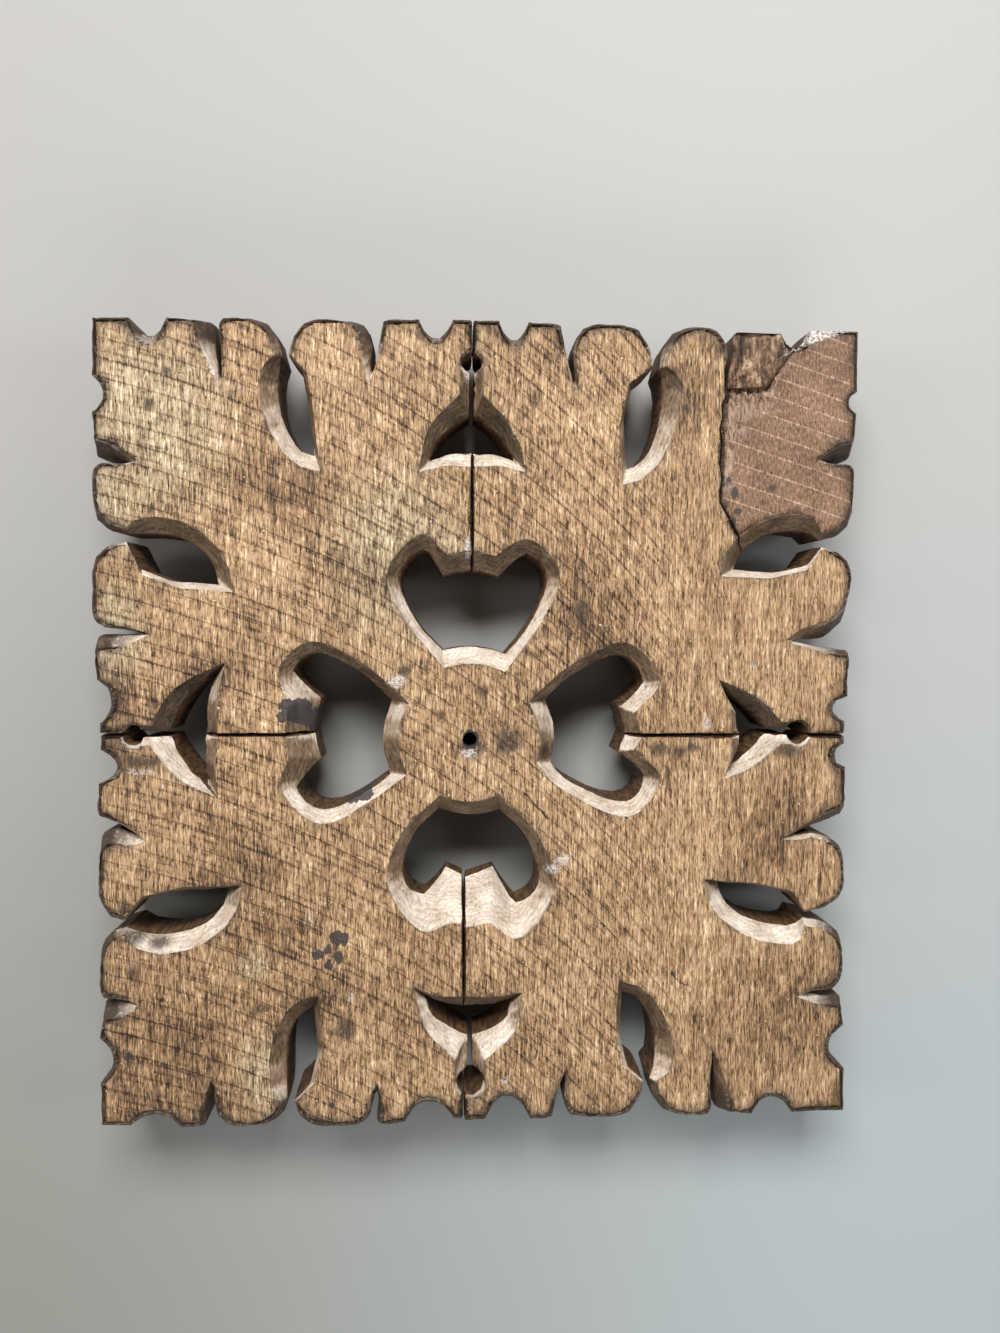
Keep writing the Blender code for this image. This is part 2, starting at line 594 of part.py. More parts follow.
# The torn place: a slope that falls from the shelf to the outer edge, bounded by a straight line up to the corner nick
def torn_place(name, material):
    h = half_edges["top_right"]
    across = along_stretch(h, reach_right)
    nick = between(h["corner_in"], h["corner_out"], 0.5) * across
    shelf = reach_top - torn_down
    line = [
        (torn_start * across, shelf),
        (torn_elbow * across, shelf + torn_rise),
        (nick, reach_top - h["corner_depth"] + torn_in_nick),
        (nick, reach_top + beyond),
        (torn_start * across, reach_top + beyond),
    ]
    low = [(x, y, -torn_depth - torn_fall * (y - shelf) / torn_down) for x, y in line]
    points = np.array(low + [(x, y, beyond) for x, y in line])
    count = len(line)
    around = [(i, (i + 1) % count, (i + 1) % count + count, i + count) for i in range(count)]
    faces = [tuple(range(count))[::-1], tuple(range(count, 2 * count))] + around
    return cutter(mesh_object(name, points, faces, material))


def cutter(made):
    made.hide_render = True
    made.display_type = "WIRE"
    return made


def prism(name, line, material):
    count = len(line)
    line = line[::-1] if np.cross(line, np.roll(line, -1, axis=0)).sum() < 0 else line
    points = np.concatenate(
        [np.column_stack([line, np.full(count, beyond)]), np.column_stack([line, np.full(count, -thickness - beyond)])]
    )
    around = [(i, i + count, (i + 1) % count + count, (i + 1) % count) for i in range(count)]
    faces = [tuple(range(count)), tuple(range(2 * count - 1, count - 1, -1))] + around
    return cutter(mesh_object(name, points, faces, material))


def cut(target, tool, operation):
    step = target.modifiers.new(tool.name, "BOOLEAN")
    step.operation = operation
    step.object = tool
    step.solver = "EXACT"


oak = wood("oak", (0.43, 0.25, 0.10), 0.72)
patch_wood = wood("patch_wood", (0.27, 0.15, 0.09), 0.7)

boss_body = blank("boss_body", oak)
corner_patch = blank("corner_patch", patch_wood)
cut(boss_body, prism("joint_recess", joint_line(joint_gap), oak), "DIFFERENCE")
cut(corner_patch, prism("joint_piece", joint_line(0.0), patch_wood), "INTERSECT")
cut(corner_patch, torn_place("torn_slope", patch_wood), "DIFFERENCE")
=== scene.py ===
import math

import bmesh
import bpy
import numpy as np
from mathutils import Matrix, Vector
from mathutils.geometry import delaunay_2d_cdt


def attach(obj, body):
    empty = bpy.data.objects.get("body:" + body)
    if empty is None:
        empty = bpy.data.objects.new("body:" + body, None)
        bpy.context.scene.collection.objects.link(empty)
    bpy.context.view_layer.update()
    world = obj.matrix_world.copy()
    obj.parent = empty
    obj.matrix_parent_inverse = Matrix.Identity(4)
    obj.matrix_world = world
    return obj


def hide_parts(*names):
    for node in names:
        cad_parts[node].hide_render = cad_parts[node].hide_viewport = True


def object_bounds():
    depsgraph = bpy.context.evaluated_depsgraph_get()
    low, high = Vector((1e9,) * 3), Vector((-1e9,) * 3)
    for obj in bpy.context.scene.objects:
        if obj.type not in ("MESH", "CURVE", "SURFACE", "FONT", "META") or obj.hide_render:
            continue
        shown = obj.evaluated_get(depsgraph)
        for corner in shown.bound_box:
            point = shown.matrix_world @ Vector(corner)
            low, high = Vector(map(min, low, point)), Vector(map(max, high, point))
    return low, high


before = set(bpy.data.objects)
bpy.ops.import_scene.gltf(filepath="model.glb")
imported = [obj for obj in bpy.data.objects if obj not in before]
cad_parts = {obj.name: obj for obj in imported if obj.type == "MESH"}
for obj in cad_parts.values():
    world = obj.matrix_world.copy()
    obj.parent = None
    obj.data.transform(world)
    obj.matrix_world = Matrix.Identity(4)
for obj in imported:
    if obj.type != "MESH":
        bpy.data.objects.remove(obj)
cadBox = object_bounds()

# Everything below is worked out in millimetres from the screw hole: x across the grain, y along it,
# z = 0 on the sawn back that looks up at the camera, and the carved face below it.
metre = 0.001
boxLow, boxHigh = (np.array(c) / metre for c in (cadBox[0], cadBox[1]))

# Saw marks: circles of the blade's radius, whose tops stand to the left of the board. They fade to the least
# strength from fadeFrom to fadeTo, a line that wanders, and are patchy by a share
saw = dict(
    radius=350.0, topX=-204.0, pitch=6.26, lean=0.0018, first=0.70, waver=0.10, waverSize=30.0,
    fadeFrom=48.0, fadeTo=84.0, wander=14.0, fade=0.86, patchy=0.45,
)

# Stains from the photograph: x, y, half width, half height
tarSpots = [
    (-58.2, 9.3, 5.6, 4.0), (-51.7, 6.3, 4.2, 3.8), (-61.1, 11.2, 2.6, 2.2), (-39.2, -18.8, 2.6, 3.0),
    (-35.0, -17.2, 2.6, 3.0), (-44.1, -65.6, 2.6, 2.3), (-41.2, -66.3, 1.0, 2.2), (-50.0, -70.9, 2.0, 1.6),
    (-47.1, -69.3, 1.2, 1.8), (-43.2, -71.9, 1.3, 2.1), (-46.7, -74.6, 1.2, 1.8), (-112.1, -104.4, 1.1, 1.4),
    (-45.6, -121.9, 1.0, 1.0), (-52.2, -52.5, 0.7, 0.7), (87.4, 82.2, 1.0, 1.8), (85.6, 86.5, 0.8, 0.8),
    (88.4, 76.0, 1.6, 1.3), (87.3, 72.7, 0.7, 2.0), (0.1, -0.1, 2.9, 3.0),
]
grimeSpots = [
    (-112.9, -54.9, 1.4, 3.4), (-110.7, -65.2, 4.2, 2.2), (-102.4, -67.3, 3.4, 1.8), (-107.2, -7.0, 6.8, 2.2),
    (63.3, -2.8, 3.3, 2.0), (70.1, -4.1, 2.6, 1.7), (74.4, -2.8, 2.0, 1.3), (107.4, -3.4, 4.4, 2.4),
    (0.7, -2.0, 4.2, 4.4), (12.2, -0.4, 4.6, 4.0), (25.5, -3.4, 1.4, 3.0), (36.5, 42.4, 2.6, 3.4),
    (-41.2, -96.6, 3.2, 3.6), (-110.2, -76.5, 2.2, 2.2), (-97.7, 118.8, 1.5, 1.5), (-103.8, 108.3, 1.9, 1.9),
    (-102.9, 74.8, 1.1, 1.4), (4.2, 16.5, 1.8, 1.8), (-9.6, 7.9, 1.1, 1.4), (-21.1, 22.4, 2.2, 1.8),
    (100.2, 84.1, 1.4, 1.4), (70.8, 109.6, 1.1, 1.1), (-69.4, -89.1, 2.6, 1.4), (-46.7, -55.3, 1.0, 1.0),
    (67.0, 28.6, 0.7, 1.0), (22.1, 15.6, 1.1, 1.1),
]
chalkSpots = [
    (-24.0, 19.5, 3.0, 1.8), (79.1, 5.9, 1.1, 2.8), (27.4, -43.5, 2.6, 1.5), (31.8, -40.2, 2.8, 1.5),
    (0.0, -4.2, 2.2, 1.2), (-52.6, -59.2, 0.8, 1.6), (-39.2, -85.5, 0.7, 1.2), (94.7, 25.0, 0.8, 0.8),
    (-107.2, -10.2, 5.6, 0.5), (12.1, -114.5, 1.0, 1.0), (-0.9, 63.4, 0.9, 3.2), (1.3, 98.0, 0.7, 1.4),
    (0.9, 55.5, 0.7, 1.6), (-1.0, 120.0, 0.7, 1.6),
]
paleZones = [
    (-104.0, 102.0, 21.0, 25.0), (-115.0, 82.0, 9.0, 17.0), (-71.0, -74.0, 5.0, 4.0), (-116.0, 34.0, 9.0, 14.0),
    (-66.0, -112.0, 9.0, 12.0), (-24.0, 62.0, 18.0, 22.0),
]
# The four bell openings, whose upper bevels get painted shade where they look away from the window
bellShadeZones = [(0.5, 99.0, 24.0, 15.0), (97.0, 1.0, 15.0, 24.0), (-97.0, 2.0, 15.0, 24.0), (0.0, -97.0, 24.0, 15.0)]
brownZones = [
    (-96.0, -98.0, 30.0, 30.0), (-78.0, -44.0, 18.0, 12.0), (-60.0, 84.0, 20.0, 9.0), (-36.0, 56.0, 16.0, 7.0),
    (104.0, -100.0, 18.0, 20.0), (106.0, -30.0, 14.0, 22.0), (40.0, 40.0, 13.0, 16.0), (-88.0, 22.0, 12.0, 8.0),
    (70.0, 112.0, 10.0, 8.0), (-48.0, -86.0, 16.0, 9.0), (-112.0, 8.0, 9.0, 14.0), (-70.0, -62.0, 16.0, 9.0),
]

# The let-in corner's frayed wood, its joint as it shows on the back, and the slanting line where its top facet starts
frayedSpots = [(91.0, 112.5, 6.5, 4.6), (86.6, 106.0, 3.6, 7.5), (95.5, 117.5, 5.0, 4.0), (84.8, 92.0, 1.8, 8.0)]
seamLine = [(84.5, 117.0), (83.6, 99.0), (83.2, 79.6), (88.2, 67.7)]
facet = dict(x=107.0, y=129.4, slope=0.353, fall=0.5, most=2.4, overlap=1.5)


# Whole-number noise at lattice corners: bits of the corner's numbers mixed, 0 to 1
def lattice(i, j, k, seed):
    n = (i * 73856093) ^ (j * 19349663) ^ (k * 83492791) ^ (seed * 49979687 + 1013)
    n = ((n ^ (n >> 13)) * 1274126177) & 0xFFFFFFFF
    n = ((n ^ (n >> 15)) * 2246822519) & 0xFFFFFFFF
    return ((n >> 8) & 0xFFFF) / 65535.0


# Smooth noise, 0 to 1: lattice values blended by 3t^2 - 2t^3; size is the length of one lattice cell in mm,
# and the last number of each call is the seed
def noise(points, size, seed=0):
    q = points / np.asarray(size, float)
    low = np.floor(q)
    t = q - low
    t = t * t * (3 - 2 * t)
    low = low.astype(np.int64)
    total = np.zeros(len(q))
    for corner in range(8):
        step = np.array([corner & 1, corner >> 1 & 1, corner >> 2])
        share = np.where(step, t, 1 - t).prod(axis=1)
        total += share * lattice(*(low + step).T, seed)
    return total


# Noise added at halving sizes and strengths
def roughNoise(points, size, seed=0, layers=3):
    size = np.asarray(size, float)
    total, weight = 0.0, 0.0
    for layer in range(layers):
        total = total + noise(points, size / 2**layer, seed + 17 * layer) / 2**layer
        weight += 1 / 2**layer
    return total / weight


# 0 below low, 1 above high, smooth between
def ease(low, high, value):
    t = np.clip((value - low) / (high - low), 0, 1)
    return t * t * (3 - 2 * t)


# How much a place lies in any of the soft spots: 1 in the middle, 0 outside, the rim broken by noise
def spotted(points, spots, soft, wobble, seed):
    found = np.zeros(len(points))
    jitter = (roughNoise(points, 2.4, seed) - 0.5) * wobble
    for x, y, wide, high in spots:
        away = np.hypot((points[:, 0] - x) / wide, (points[:, 1] - y) / high)
        found = np.maximum(found, 1 - ease(1 - soft, 1 + soft, away + jitter))
    return found


# Number of the saw mark at a place: (y - arc of the blade's circle) / pitch, with a slow waver
def sawPhase(points):
    x, y = points[:, 0], points[:, 1]
    arc = np.sqrt(saw["radius"] ** 2 - (x - saw["topX"]) ** 2)
    waver = (noise(points * (1, 1, 0), saw["waverSize"], 3) - 0.5) * 2 * saw["waver"]
    return (y - arc) / saw["pitch"] - saw["lean"] * x - saw["first"] + waver


# How strongly the saw marks show: (1 - fade * how far right) * (1 - patchy + patchy * noise)
def sawStrength(points):
    flat = points * (1, 1, 0)
    wandered = points[:, 0] + saw["wander"] * (noise(flat, 30, 4) - 0.5)
    reach = 1 - saw["fade"] * ease(saw["fadeFrom"], saw["fadeTo"], wandered)
    return reach * (1 - saw["patchy"] + saw["patchy"] * noise(flat, (26, 9, 9), 5))


# A CAD node's mesh as merged points and triangles
def solidOf(name):
    mesh = bmesh.new()
    mesh.from_mesh(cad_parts[name].data)
    bmesh.ops.remove_doubles(mesh, verts=mesh.verts, dist=0.002 * metre)
    bmesh.ops.triangulate(mesh, faces=mesh.faces)
    plain = bpy.data.meshes.new("plain")
    mesh.to_mesh(plain)
    mesh.free()
    points = np.empty(len(plain.vertices) * 3)
    plain.vertices.foreach_get("co", points)
    faces = np.empty(len(plain.polygons) * 3, np.int64)
    plain.polygons.foreach_get("vertices", faces)
    bpy.data.meshes.remove(plain)
    return points.reshape(-1, 3) / metre, faces.reshape(-1, 3)


# Unit normals of triangles: the cross product of two sides over its length
def faceNormals(points, faces):
    a, b, c = (points[faces[:, i]] for i in range(3))
    n = np.cross(b - a, c - a)
    return n / np.maximum(np.linalg.norm(n, axis=1), 1e-12)[:, None]


# Normals at points: the area-weighted mean of their faces' normals
def pointNormals(points, faces):
    a, b, c = (points[faces[:, i]] for i in range(3))
    n = np.cross(b - a, c - a)
    total = np.zeros_like(points)
    for i in range(3):
        for axis in range(3):
            total[:, axis] += np.bincount(faces[:, i], n[:, axis], len(points))
    return total / np.maximum(np.linalg.norm(total, axis=1), 1e-12)[:, None]


# Splits long edges in the middle, until none is over the length wanted there. Of each triangle only the edges that
# are nearly the longest, by a share of its length, are split in one round
def refine(points, faces, kinds, wanted, rounds=14, nearly=0.72):
    for _ in range(rounds):
        corners = np.stack([faces, np.roll(faces, -1, axis=1)], axis=-1)
        low, high = corners.min(axis=-1), corners.max(axis=-1)
        keys, which = np.unique(low * len(points) + high, return_inverse=True)
        which = which.reshape(faces.shape)
        first, second = keys // len(points), keys % len(points)
        span = np.linalg.norm(points[first] - points[second], axis=1)
        middle = (points[first] + points[second]) / 2
        spans = span[which]
        main = np.zeros(len(keys), bool)
        main[which[spans > nearly * spans.max(axis=1)[:, None]]] = True
        split = main & (span > wanted(middle))
        if not split.any():
            break
        fresh = np.full(len(keys), -1)
        fresh[split] = len(points) + np.arange(split.sum())
        points = np.concatenate([points, middle[split]])
        mids = fresh[which]
        cut = mids >= 0
        count = cut.sum(axis=1)  # how many of a triangle's edges are split; each turn puts the split ones first
        made, madeKinds = [faces[count == 0]], [kinds[count == 0]]
        for n in (1, 2, 3):
            for turn in range(3 if n < 3 else 1):
                turned = np.roll(cut, -turn, axis=1)
                match = count == n
                if n == 1:
                    match &= turned[:, 0]
                if n == 2:
                    match &= ~turned[:, 2]
                if not match.any():
                    continue
                a, b, c = np.roll(faces[match], -turn, axis=1).T
                p, q, r = np.roll(mids[match], -turn, axis=1).T
                parts = {
                    1: [(a, p, c), (p, b, c)],
                    2: [(p, b, q), (a, p, q), (a, q, c)],
                    3: [(a, p, r), (p, b, q), (r, q, c), (p, q, r)],
                }[n]
                made += [np.stack(part, axis=1) for part in parts]
                madeKinds += [kinds[match]] * len(parts)
        faces, kinds = np.concatenate(made), np.concatenate(madeKinds)
    return points, faces, kinds


# Edges that only one triangle has: an edge's two point numbers make one key, and a key found once is open
def openEdges(faces, count):
    ends = np.concatenate([faces[:, [0, 1]], faces[:, [1, 2]], faces[:, [2, 0]]])
    keys = ends.min(axis=1) * count + ends.max(axis=1)
    _, where, times = np.unique(keys, return_index=True, return_counts=True)
    return ends[where[times == 1]]


# Outlines are creases where normals differ: bend and softBend are the cosines of that turn, the second between two
# kinds of surface. A crease's own turn is a corner over this length of its two unit steps added up. Points on short
# edges and near the seam stay, and none moves further than most
outline = dict(passes=30, pulls=(0.5, -0.53), bend=0.86, softBend=0.97, corner=0.62, short=0.4, seam=3.0, most=0.6)


# Rounds the outlines between the solid's flats: each point on a crease goes part of the way to the middle of its two
# neighbours on it, then slightly further back, which keeps the outline's size. Real corners, where creases meet, stay
def roundOutlines(points, faces, kinds):
    count = len(points)
    ends = np.concatenate([faces[:, [0, 1]], faces[:, [1, 2]], faces[:, [2, 0]]])
    owner = np.tile(np.arange(len(faces)), 3)
    keys = ends.min(axis=1) * count + ends.max(axis=1)
    order = np.argsort(keys, kind="stable")
    keys, ends, owner = keys[order], ends[order], owner[order]
    paired = np.flatnonzero(keys[1:] == keys[:-1])
    single = np.ones(len(keys), bool)
    single[paired] = single[paired + 1] = False
    normals = faceNormals(points, faces)
    first, second = owner[paired], owner[paired + 1]  # the two triangles at each shared edge
    bend = (normals[first] * normals[second]).sum(axis=1)
    turned = (bend < outline["bend"]) | ((kinds[first] != kinds[second]) & (bend < outline["softBend"]))
    creases = np.concatenate([ends[single], ends[paired[turned]]])
    links = np.bincount(creases.ravel(), minlength=count)
    free = links == 2  # a crease runs through the point, without a fork or an end
    ways = np.concatenate([creases, creases[:, ::-1]])
    lengths = np.linalg.norm(points[ways[:, 0]] - points[ways[:, 1]], axis=1)
    steps = (points[ways[:, 1]] - points[ways[:, 0]]) / np.maximum(lengths, 1e-9)[:, None]
    meeting = np.column_stack([np.bincount(ways[:, 0], steps[:, axis], count) for axis in range(3)])
    short = np.bincount(ways[:, 0], lengths < outline["short"], count) > 0
    free &= (np.linalg.norm(meeting, axis=1) < outline["corner"]) & ~short & (seamGap(points) > outline["seam"])
    start = points.copy()
    for pull in outline["pulls"] * outline["passes"]:
        sums = np.column_stack([np.bincount(ways[:, 0], points[ways[:, 1], axis], count) for axis in range(3)])
        middle = sums / np.maximum(links, 1)[:, None]
        points = np.where(free[:, None], points + pull * (middle - points), points)
    shift = points - start
    size = np.linalg.norm(shift, axis=1)[:, None]
    return start + shift * np.minimum(1, outline["most"] / np.maximum(size, 1e-9))


# Goes through the places in slices sorted by y, each with the rows whose low to high reaches the slice
def inSlices(places, low, high, task, step=700):
    order = np.argsort(places[:, 1])
    found = []
    for part in range(0, len(order), step):
        some = places[order[part:part + step]]
        near = (high >= some[0, 1]) & (low <= some[-1, 1])
        found.append(task(some, near))
    back = np.empty(len(order))
    back[order] = np.concatenate(found)
    return back


# Which flat places are inside closed loops of edges: an odd number of edges crosses the row to their left
def insideLoops(places, starts, ends):
    rise = np.where(ends[:, 1] == starts[:, 1], 1e-9, ends[:, 1] - starts[:, 1])

    def crossings(some, near):
        x, y = some[:, :1], some[:, 1:2]
        x1, y1 = starts[near].T
        x2, y2 = ends[near].T
        crosses = ((y1 > y) != (y2 > y)) & (x < (x2 - x1) * (y - y1) / rise[near] + x1)
        return crosses.sum(axis=1) % 2

    low, high = np.minimum(starts[:, 1], ends[:, 1]), np.maximum(starts[:, 1], ends[:, 1])
    return inSlices(places, low, high, crossings) == 1


# Distance to the nearest of the others, at most the reach
def nearest(places, others, reach):
    def closest(some, near):
        if not near.any():
            return np.full(len(some), reach)
        gap = some[:, None] - others[near]
        return np.minimum(np.sqrt((gap**2).sum(axis=-1).min(axis=1)), reach)

    return inSlices(places, others[:, 1] - reach, others[:, 1] + reach, closest)


# The back's net: height of a row and least gap to the edges, as shares of the spacing, then the noise cell in mm and
# the share by which points are moved off the even net
net = dict(row=0.866, gap=0.5, cell=0.37, jitter=0.3)

# Blender's own filling gives only what lies inside the edges, and merges places nearer than this
insideOnly, weld = 1, 1e-7


# Fills the flat back between its edge loops with a nearly even net of triangles
def fillBack(points, faces, kinds, spacing):
    edges = openEdges(faces, len(points))
    used, place = np.unique(edges, return_inverse=True)
    rim = points[used][:, :2]
    edges = place.reshape(edges.shape)
    starts, ends = rim[edges[:, 0]], rim[edges[:, 1]]
    lowX, lowY = rim.min(axis=0)
    highX, highY = rim.max(axis=0)
    rows = np.arange(lowY, highY, spacing * net["row"])
    columns = np.arange(lowX, highX, spacing)
    x, y = np.meshgrid(columns, rows)
    x = x + (np.arange(len(rows)) % 2 * spacing / 2)[:, None]
    inner = np.column_stack([x.ravel(), y.ravel()])
    even = np.column_stack([inner, np.zeros(len(inner))])
    off = np.column_stack([noise(even, net["cell"], 8), noise(even, net["cell"], 9)]) - 0.5
    inner = inner + off * spacing * net["jitter"]
    inner = inner[insideLoops(inner, starts, ends)]
    inner = inner[nearest(inner, np.concatenate([rim, (starts + ends) / 2]), spacing) > spacing * net["gap"]]
    flat = np.concatenate([rim, inner])
    made = delaunay_2d_cdt([Vector(p) for p in flat], edges.tolist(), [], insideOnly, weld)
    if len(made[0]) != len(flat):
        raise ValueError("the back's edges cross")
    source = np.array([ids[0] for ids in made[3]])  # which given place each of its points was
    fill = source[np.array(made[2])]
    fill = fill[insideLoops(flat[fill].mean(axis=1), starts, ends)]
    a, b, c = (flat[fill[:, i]] for i in range(3))
    turn = (b[:, 0] - a[:, 0]) * (c[:, 1] - a[:, 1]) - (b[:, 1] - a[:, 1]) * (c[:, 0] - a[:, 0])
    fill = np.where((turn > 0)[:, None], fill, fill[:, ::-1])
    ids = np.concatenate([used, len(points) + np.arange(len(inner))])
    points = np.concatenate([points, np.column_stack([inner, np.zeros(len(inner))])])
    return points, np.concatenate([faces, ids[fill]]), np.concatenate([kinds, np.full(len(fill), kindBack)])


# Kinds of surface, and what tells them apart: how far a normal's z is from 0 on a slant and near 1 on a flat, and how
# far below zero the back may lie
kindBack, kindBevel, kindWall, kindCarved, kindTorn = range(5)
slanted, level, onPlane = 0.08, 0.999, 0.01


# Names each triangle of the solid by where it looks and how deep it lies
def kindsOf(points, faces, look):
    n = faceNormals(points, faces)
    z = points[faces][:, :, 2]
    kinds = np.full(len(faces), kindWall)
    kinds[n[:, 2] > slanted] = kindBevel
    kinds[n[:, 2] < -slanted] = kindCarved
    kinds[(n[:, 2] > level) & (z.min(axis=1) > -onPlane)] = kindBack
    if look["torn"]:
        middle = points[faces].mean(axis=1)
        broken = (kinds == kindBevel) & (middle[:, 1] > look["tornFrom"])
        kinds[broken & (middle[:, 0] < look["tornTo"])] = kindTorn
    return kinds


# The dense copy of a CAD node: fine on the back and its bevels, coarser down the walls and on the carved face
def denseCopy(name, look):
    points, faces = solidOf(name)
    kinds = kindsOf(points, faces, look)
    kept = kinds != kindBack
    faces, kinds = faces[kept], kinds[kept]

    def wanted(middle):
        depth = -middle[:, 2]
        return np.interp(depth, look["depths"], look["lengths"])

    points, faces, kinds = refine(points, faces, kinds, wanted)
    points = roundOutlines(points, faces, kinds)
    points[openEdges(faces, len(points)).ravel(), 2] = 0.0
    points, faces, kinds = fillBack(points, faces, kinds, look["spacing"])
    used, place = np.unique(faces, return_inverse=True)
    return points[used], place.reshape(faces.shape), kinds


# Which points are on a triangle of this kind
def holdsKind(points, faces, kinds, kind):
    found = np.zeros(len(points), bool)
    found[faces[kinds == kind]] = True
    return found


# Wear and dirt along the arrises is looked for this far in, and edges over this angle in degrees are shaded sharp
arrisReach = 8.0
sharpAngle = 38


# Puts the piece together: points sunk into the wood, dirt marks and painted light as attributes, sharp arrises kept
def makePiece(name, nodeName, look, materials):
    points, faces, kinds = denseCopy(nodeName, look)
    print(name, "dense copy:", len(faces), "triangles")
    normals = pointNormals(points, faces)
    onBack = holdsKind(points, faces, kinds, kindBack)
    onBevel = holdsKind(points, faces, kinds, kindBevel)
    onTorn = holdsKind(points, faces, kinds, kindTorn)
    onCarved = holdsKind(points, faces, kinds, kindCarved)
    arris = onBack & (onBevel | holdsKind(points, faces, kinds, kindWall))
    rim = points[arris][:, :2]
    fromArris = np.full(len(points), arrisReach)
    fromArris[onBack] = nearest(points[onBack][:, :2], rim, arrisReach)
    fromArris[arris] = 0.0
    broken = brokenRim(points, onBack, onTorn)
    outer = rimOutside(points)

    sunk = look["relief"](points, dict(
        normals=normals, back=onBack, bevel=onBevel, torn=onTorn, carved=onCarved, arris=arris,
        fromArris=fromArris, outer=outer, broken=broken,
    ))
    ways = np.where(onTorn[:, None], (0.0, 0.0, 1.0), normals)
    moved = points - ways * sunk[:, None]
    moved[:, 2] = np.minimum(moved[:, 2], -look["facet"](points))
    moved = np.clip(moved, boxLow, boxHigh)

    mesh = bpy.data.meshes.new(name)
    mesh.vertices.add(len(moved))
    mesh.vertices.foreach_set("co", (moved * metre).ravel())
    mesh.loops.add(faces.size)
    mesh.loops.foreach_set("vertex_index", faces.ravel())
    mesh.polygons.add(len(faces))
    mesh.polygons.foreach_set("loop_start", np.arange(0, faces.size, 3))
    mesh.update(calc_edges=True)
    mesh.validate()
    for material in materials:
        mesh.materials.append(material)
    mesh.polygons.foreach_set("material_index", np.array(look["slots"])[kinds])
    mesh.polygons.foreach_set("use_smooth", np.ones(len(faces), bool))
    mesh.set_sharp_from_angle(angle=math.radians(sharpAngle))
    stainsAndShade = stainsAndShadeOf(points, normals, fromArris, outer, look)
    stainsAndShade["frayed"] = np.maximum(stainsAndShade["frayed"], broken)
    for label, values in stainsAndShade.items():
        layer = mesh.attributes.new(label, "FLOAT", "POINT")
        layer.data.foreach_set("value", values.astype(np.float32))
    piece = bpy.data.objects.new(name, mesh)
    bpy.context.scene.collection.objects.link(piece)
    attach(piece, "root")
    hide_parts(nodeName)
    return piece


# The splintered rim below the broken slope: its least reach, what noise adds to it, and the y where it ends
splinters = dict(least=0.3, more=6.5, y=117.0, fadeY=120.5)


# 1 on the back beside the broken slope, out to a distance that noise makes uneven, 0 beyond
def brokenRim(points, onBack, onTorn):
    found = np.zeros(len(points))
    if onTorn.any():
        back = points[onBack]
        gap = nearest(back[:, :2], points[onTorn][:, :2], arrisReach)
        uneven = ease(0.3, 0.8, roughNoise(back * (1, 1, 0), (2.2, 4.5, 3), 61))
        reach = splinters["least"] + splinters["more"] * uneven
        found[onBack] = (1 - ease(0.75, 1.1, gap / reach)) * ease(splinters["fadeY"], splinters["y"], back[:, 1])
    return found


# Distance in from the board's four outer sides, by its box
def rimOutside(points):
    flat = points[:, :2]
    return np.minimum(flat - boxLow[:2], boxHigh[:2] - flat).min(axis=1)


# Lengths of the dirt in mm: its fall from an arris, its band along the board's outer sides and how that ends inwards,
# half the band along the seam, the depths between which specks end, and how far in the outer bevels lose their painted
# highlight and look brown
dirt = dict(
    arris=1.3, arrisShow=0.6, border=1.2, borderMore=3.0, borderIn=(5.0, 16.0), below=0.05, seam=(0.5, 1.5),
    seamRough=1.6, seamShow=1.1, specks=(-7.0, -3.0), planed=0.02, outerBrown=1.1, outerIn=(3.0, 9.0),
)


# The marks as numbers at the points, with the bevels' painted highlight and shade. Dirt is the most of: the spots;
# e^(-distance to the arris / its fall), ragged; the border, which is everything just below the back near the outer
# sides; the seam's band, ragged
def stainsAndShadeOf(points, normals, fromArris, outer, look):
    flat = points * (1, 1, 0)
    ragged = roughNoise(flat, 6, 31)
    edgeDark = np.exp(-fromArris / dirt["arris"]) * ease(0.36, 0.6, ragged)
    near = 1 - ease(*dirt["borderIn"], outer)
    band = np.exp(-((fromArris / (dirt["border"] + dirt["borderMore"] * ragged)) ** 2))
    border = near * band * ease(0.16, 0.46, roughNoise(flat, 17, 33))
    border = np.maximum(border, near * (points[:, 2] < -dirt["below"]))
    fromSeam = seamGap(points) + dirt["seamRough"] * (roughNoise(flat, 2.6, 35) - 0.5)
    seam = 1 - ease(*dirt["seam"], fromSeam)
    spots = spotted(points, grimeSpots, 0.6, 0.9, 43)
    chalk = np.maximum(spotted(points, chalkSpots, 0.35, 1.5, 47), look["facet"](points) > dirt["planed"])
    return {
        "saw": sawPhase(points),
        "sawStrength": sawStrength(points) * look["sawShow"],
        "tar": spotted(points, tarSpots, 0.16, 1.0, 41),
        "grime": np.max([spots, dirt["arrisShow"] * edgeDark, border, dirt["seamShow"] * seam], axis=0),
        "chalk": chalk * ease(*dirt["specks"], points[:, 2]),
        "pale": spotted(points, paleZones, 0.75, 0.5, 51),
        "brown": spotted(points, brownZones, 0.8, 0.7, 53),
        # Painted highlight and shade of the bevels: how far a point faces +y, toward the window, lowered near the
        # outer sides so that the outer bevels stay brown
        "faceToLight": normals[:, 1] - dirt["outerBrown"] * (1 - ease(*dirt["outerIn"], outer)),
        # Zones of painted shade on the bell openings' bevels
        "bellShade": spotted(points, bellShadeZones, 0.4, 0.5, 59),
        "frayed": spotted(points, look["frayed"], 0.5, 1.6, 57),
    }


# Distance from a flat line between two places
def toSegment(points, start, end):
    start, along = np.array(start), np.array(end) - np.array(start)
    gap = points[:, :2] - start
    share = np.clip(gap @ along / (along @ along), 0, 1)
    return np.hypot(*(gap - share[:, None] * along).T)


# Distance from the let-in corner's seam
def seamGap(points):
    return np.min([toSegment(points, *ends) for ends in zip(seamLine[:-1], seamLine[1:])], axis=0)


# No facet: how deep the back is planed off, nowhere
def noFacet(points):
    return np.zeros(len(points))


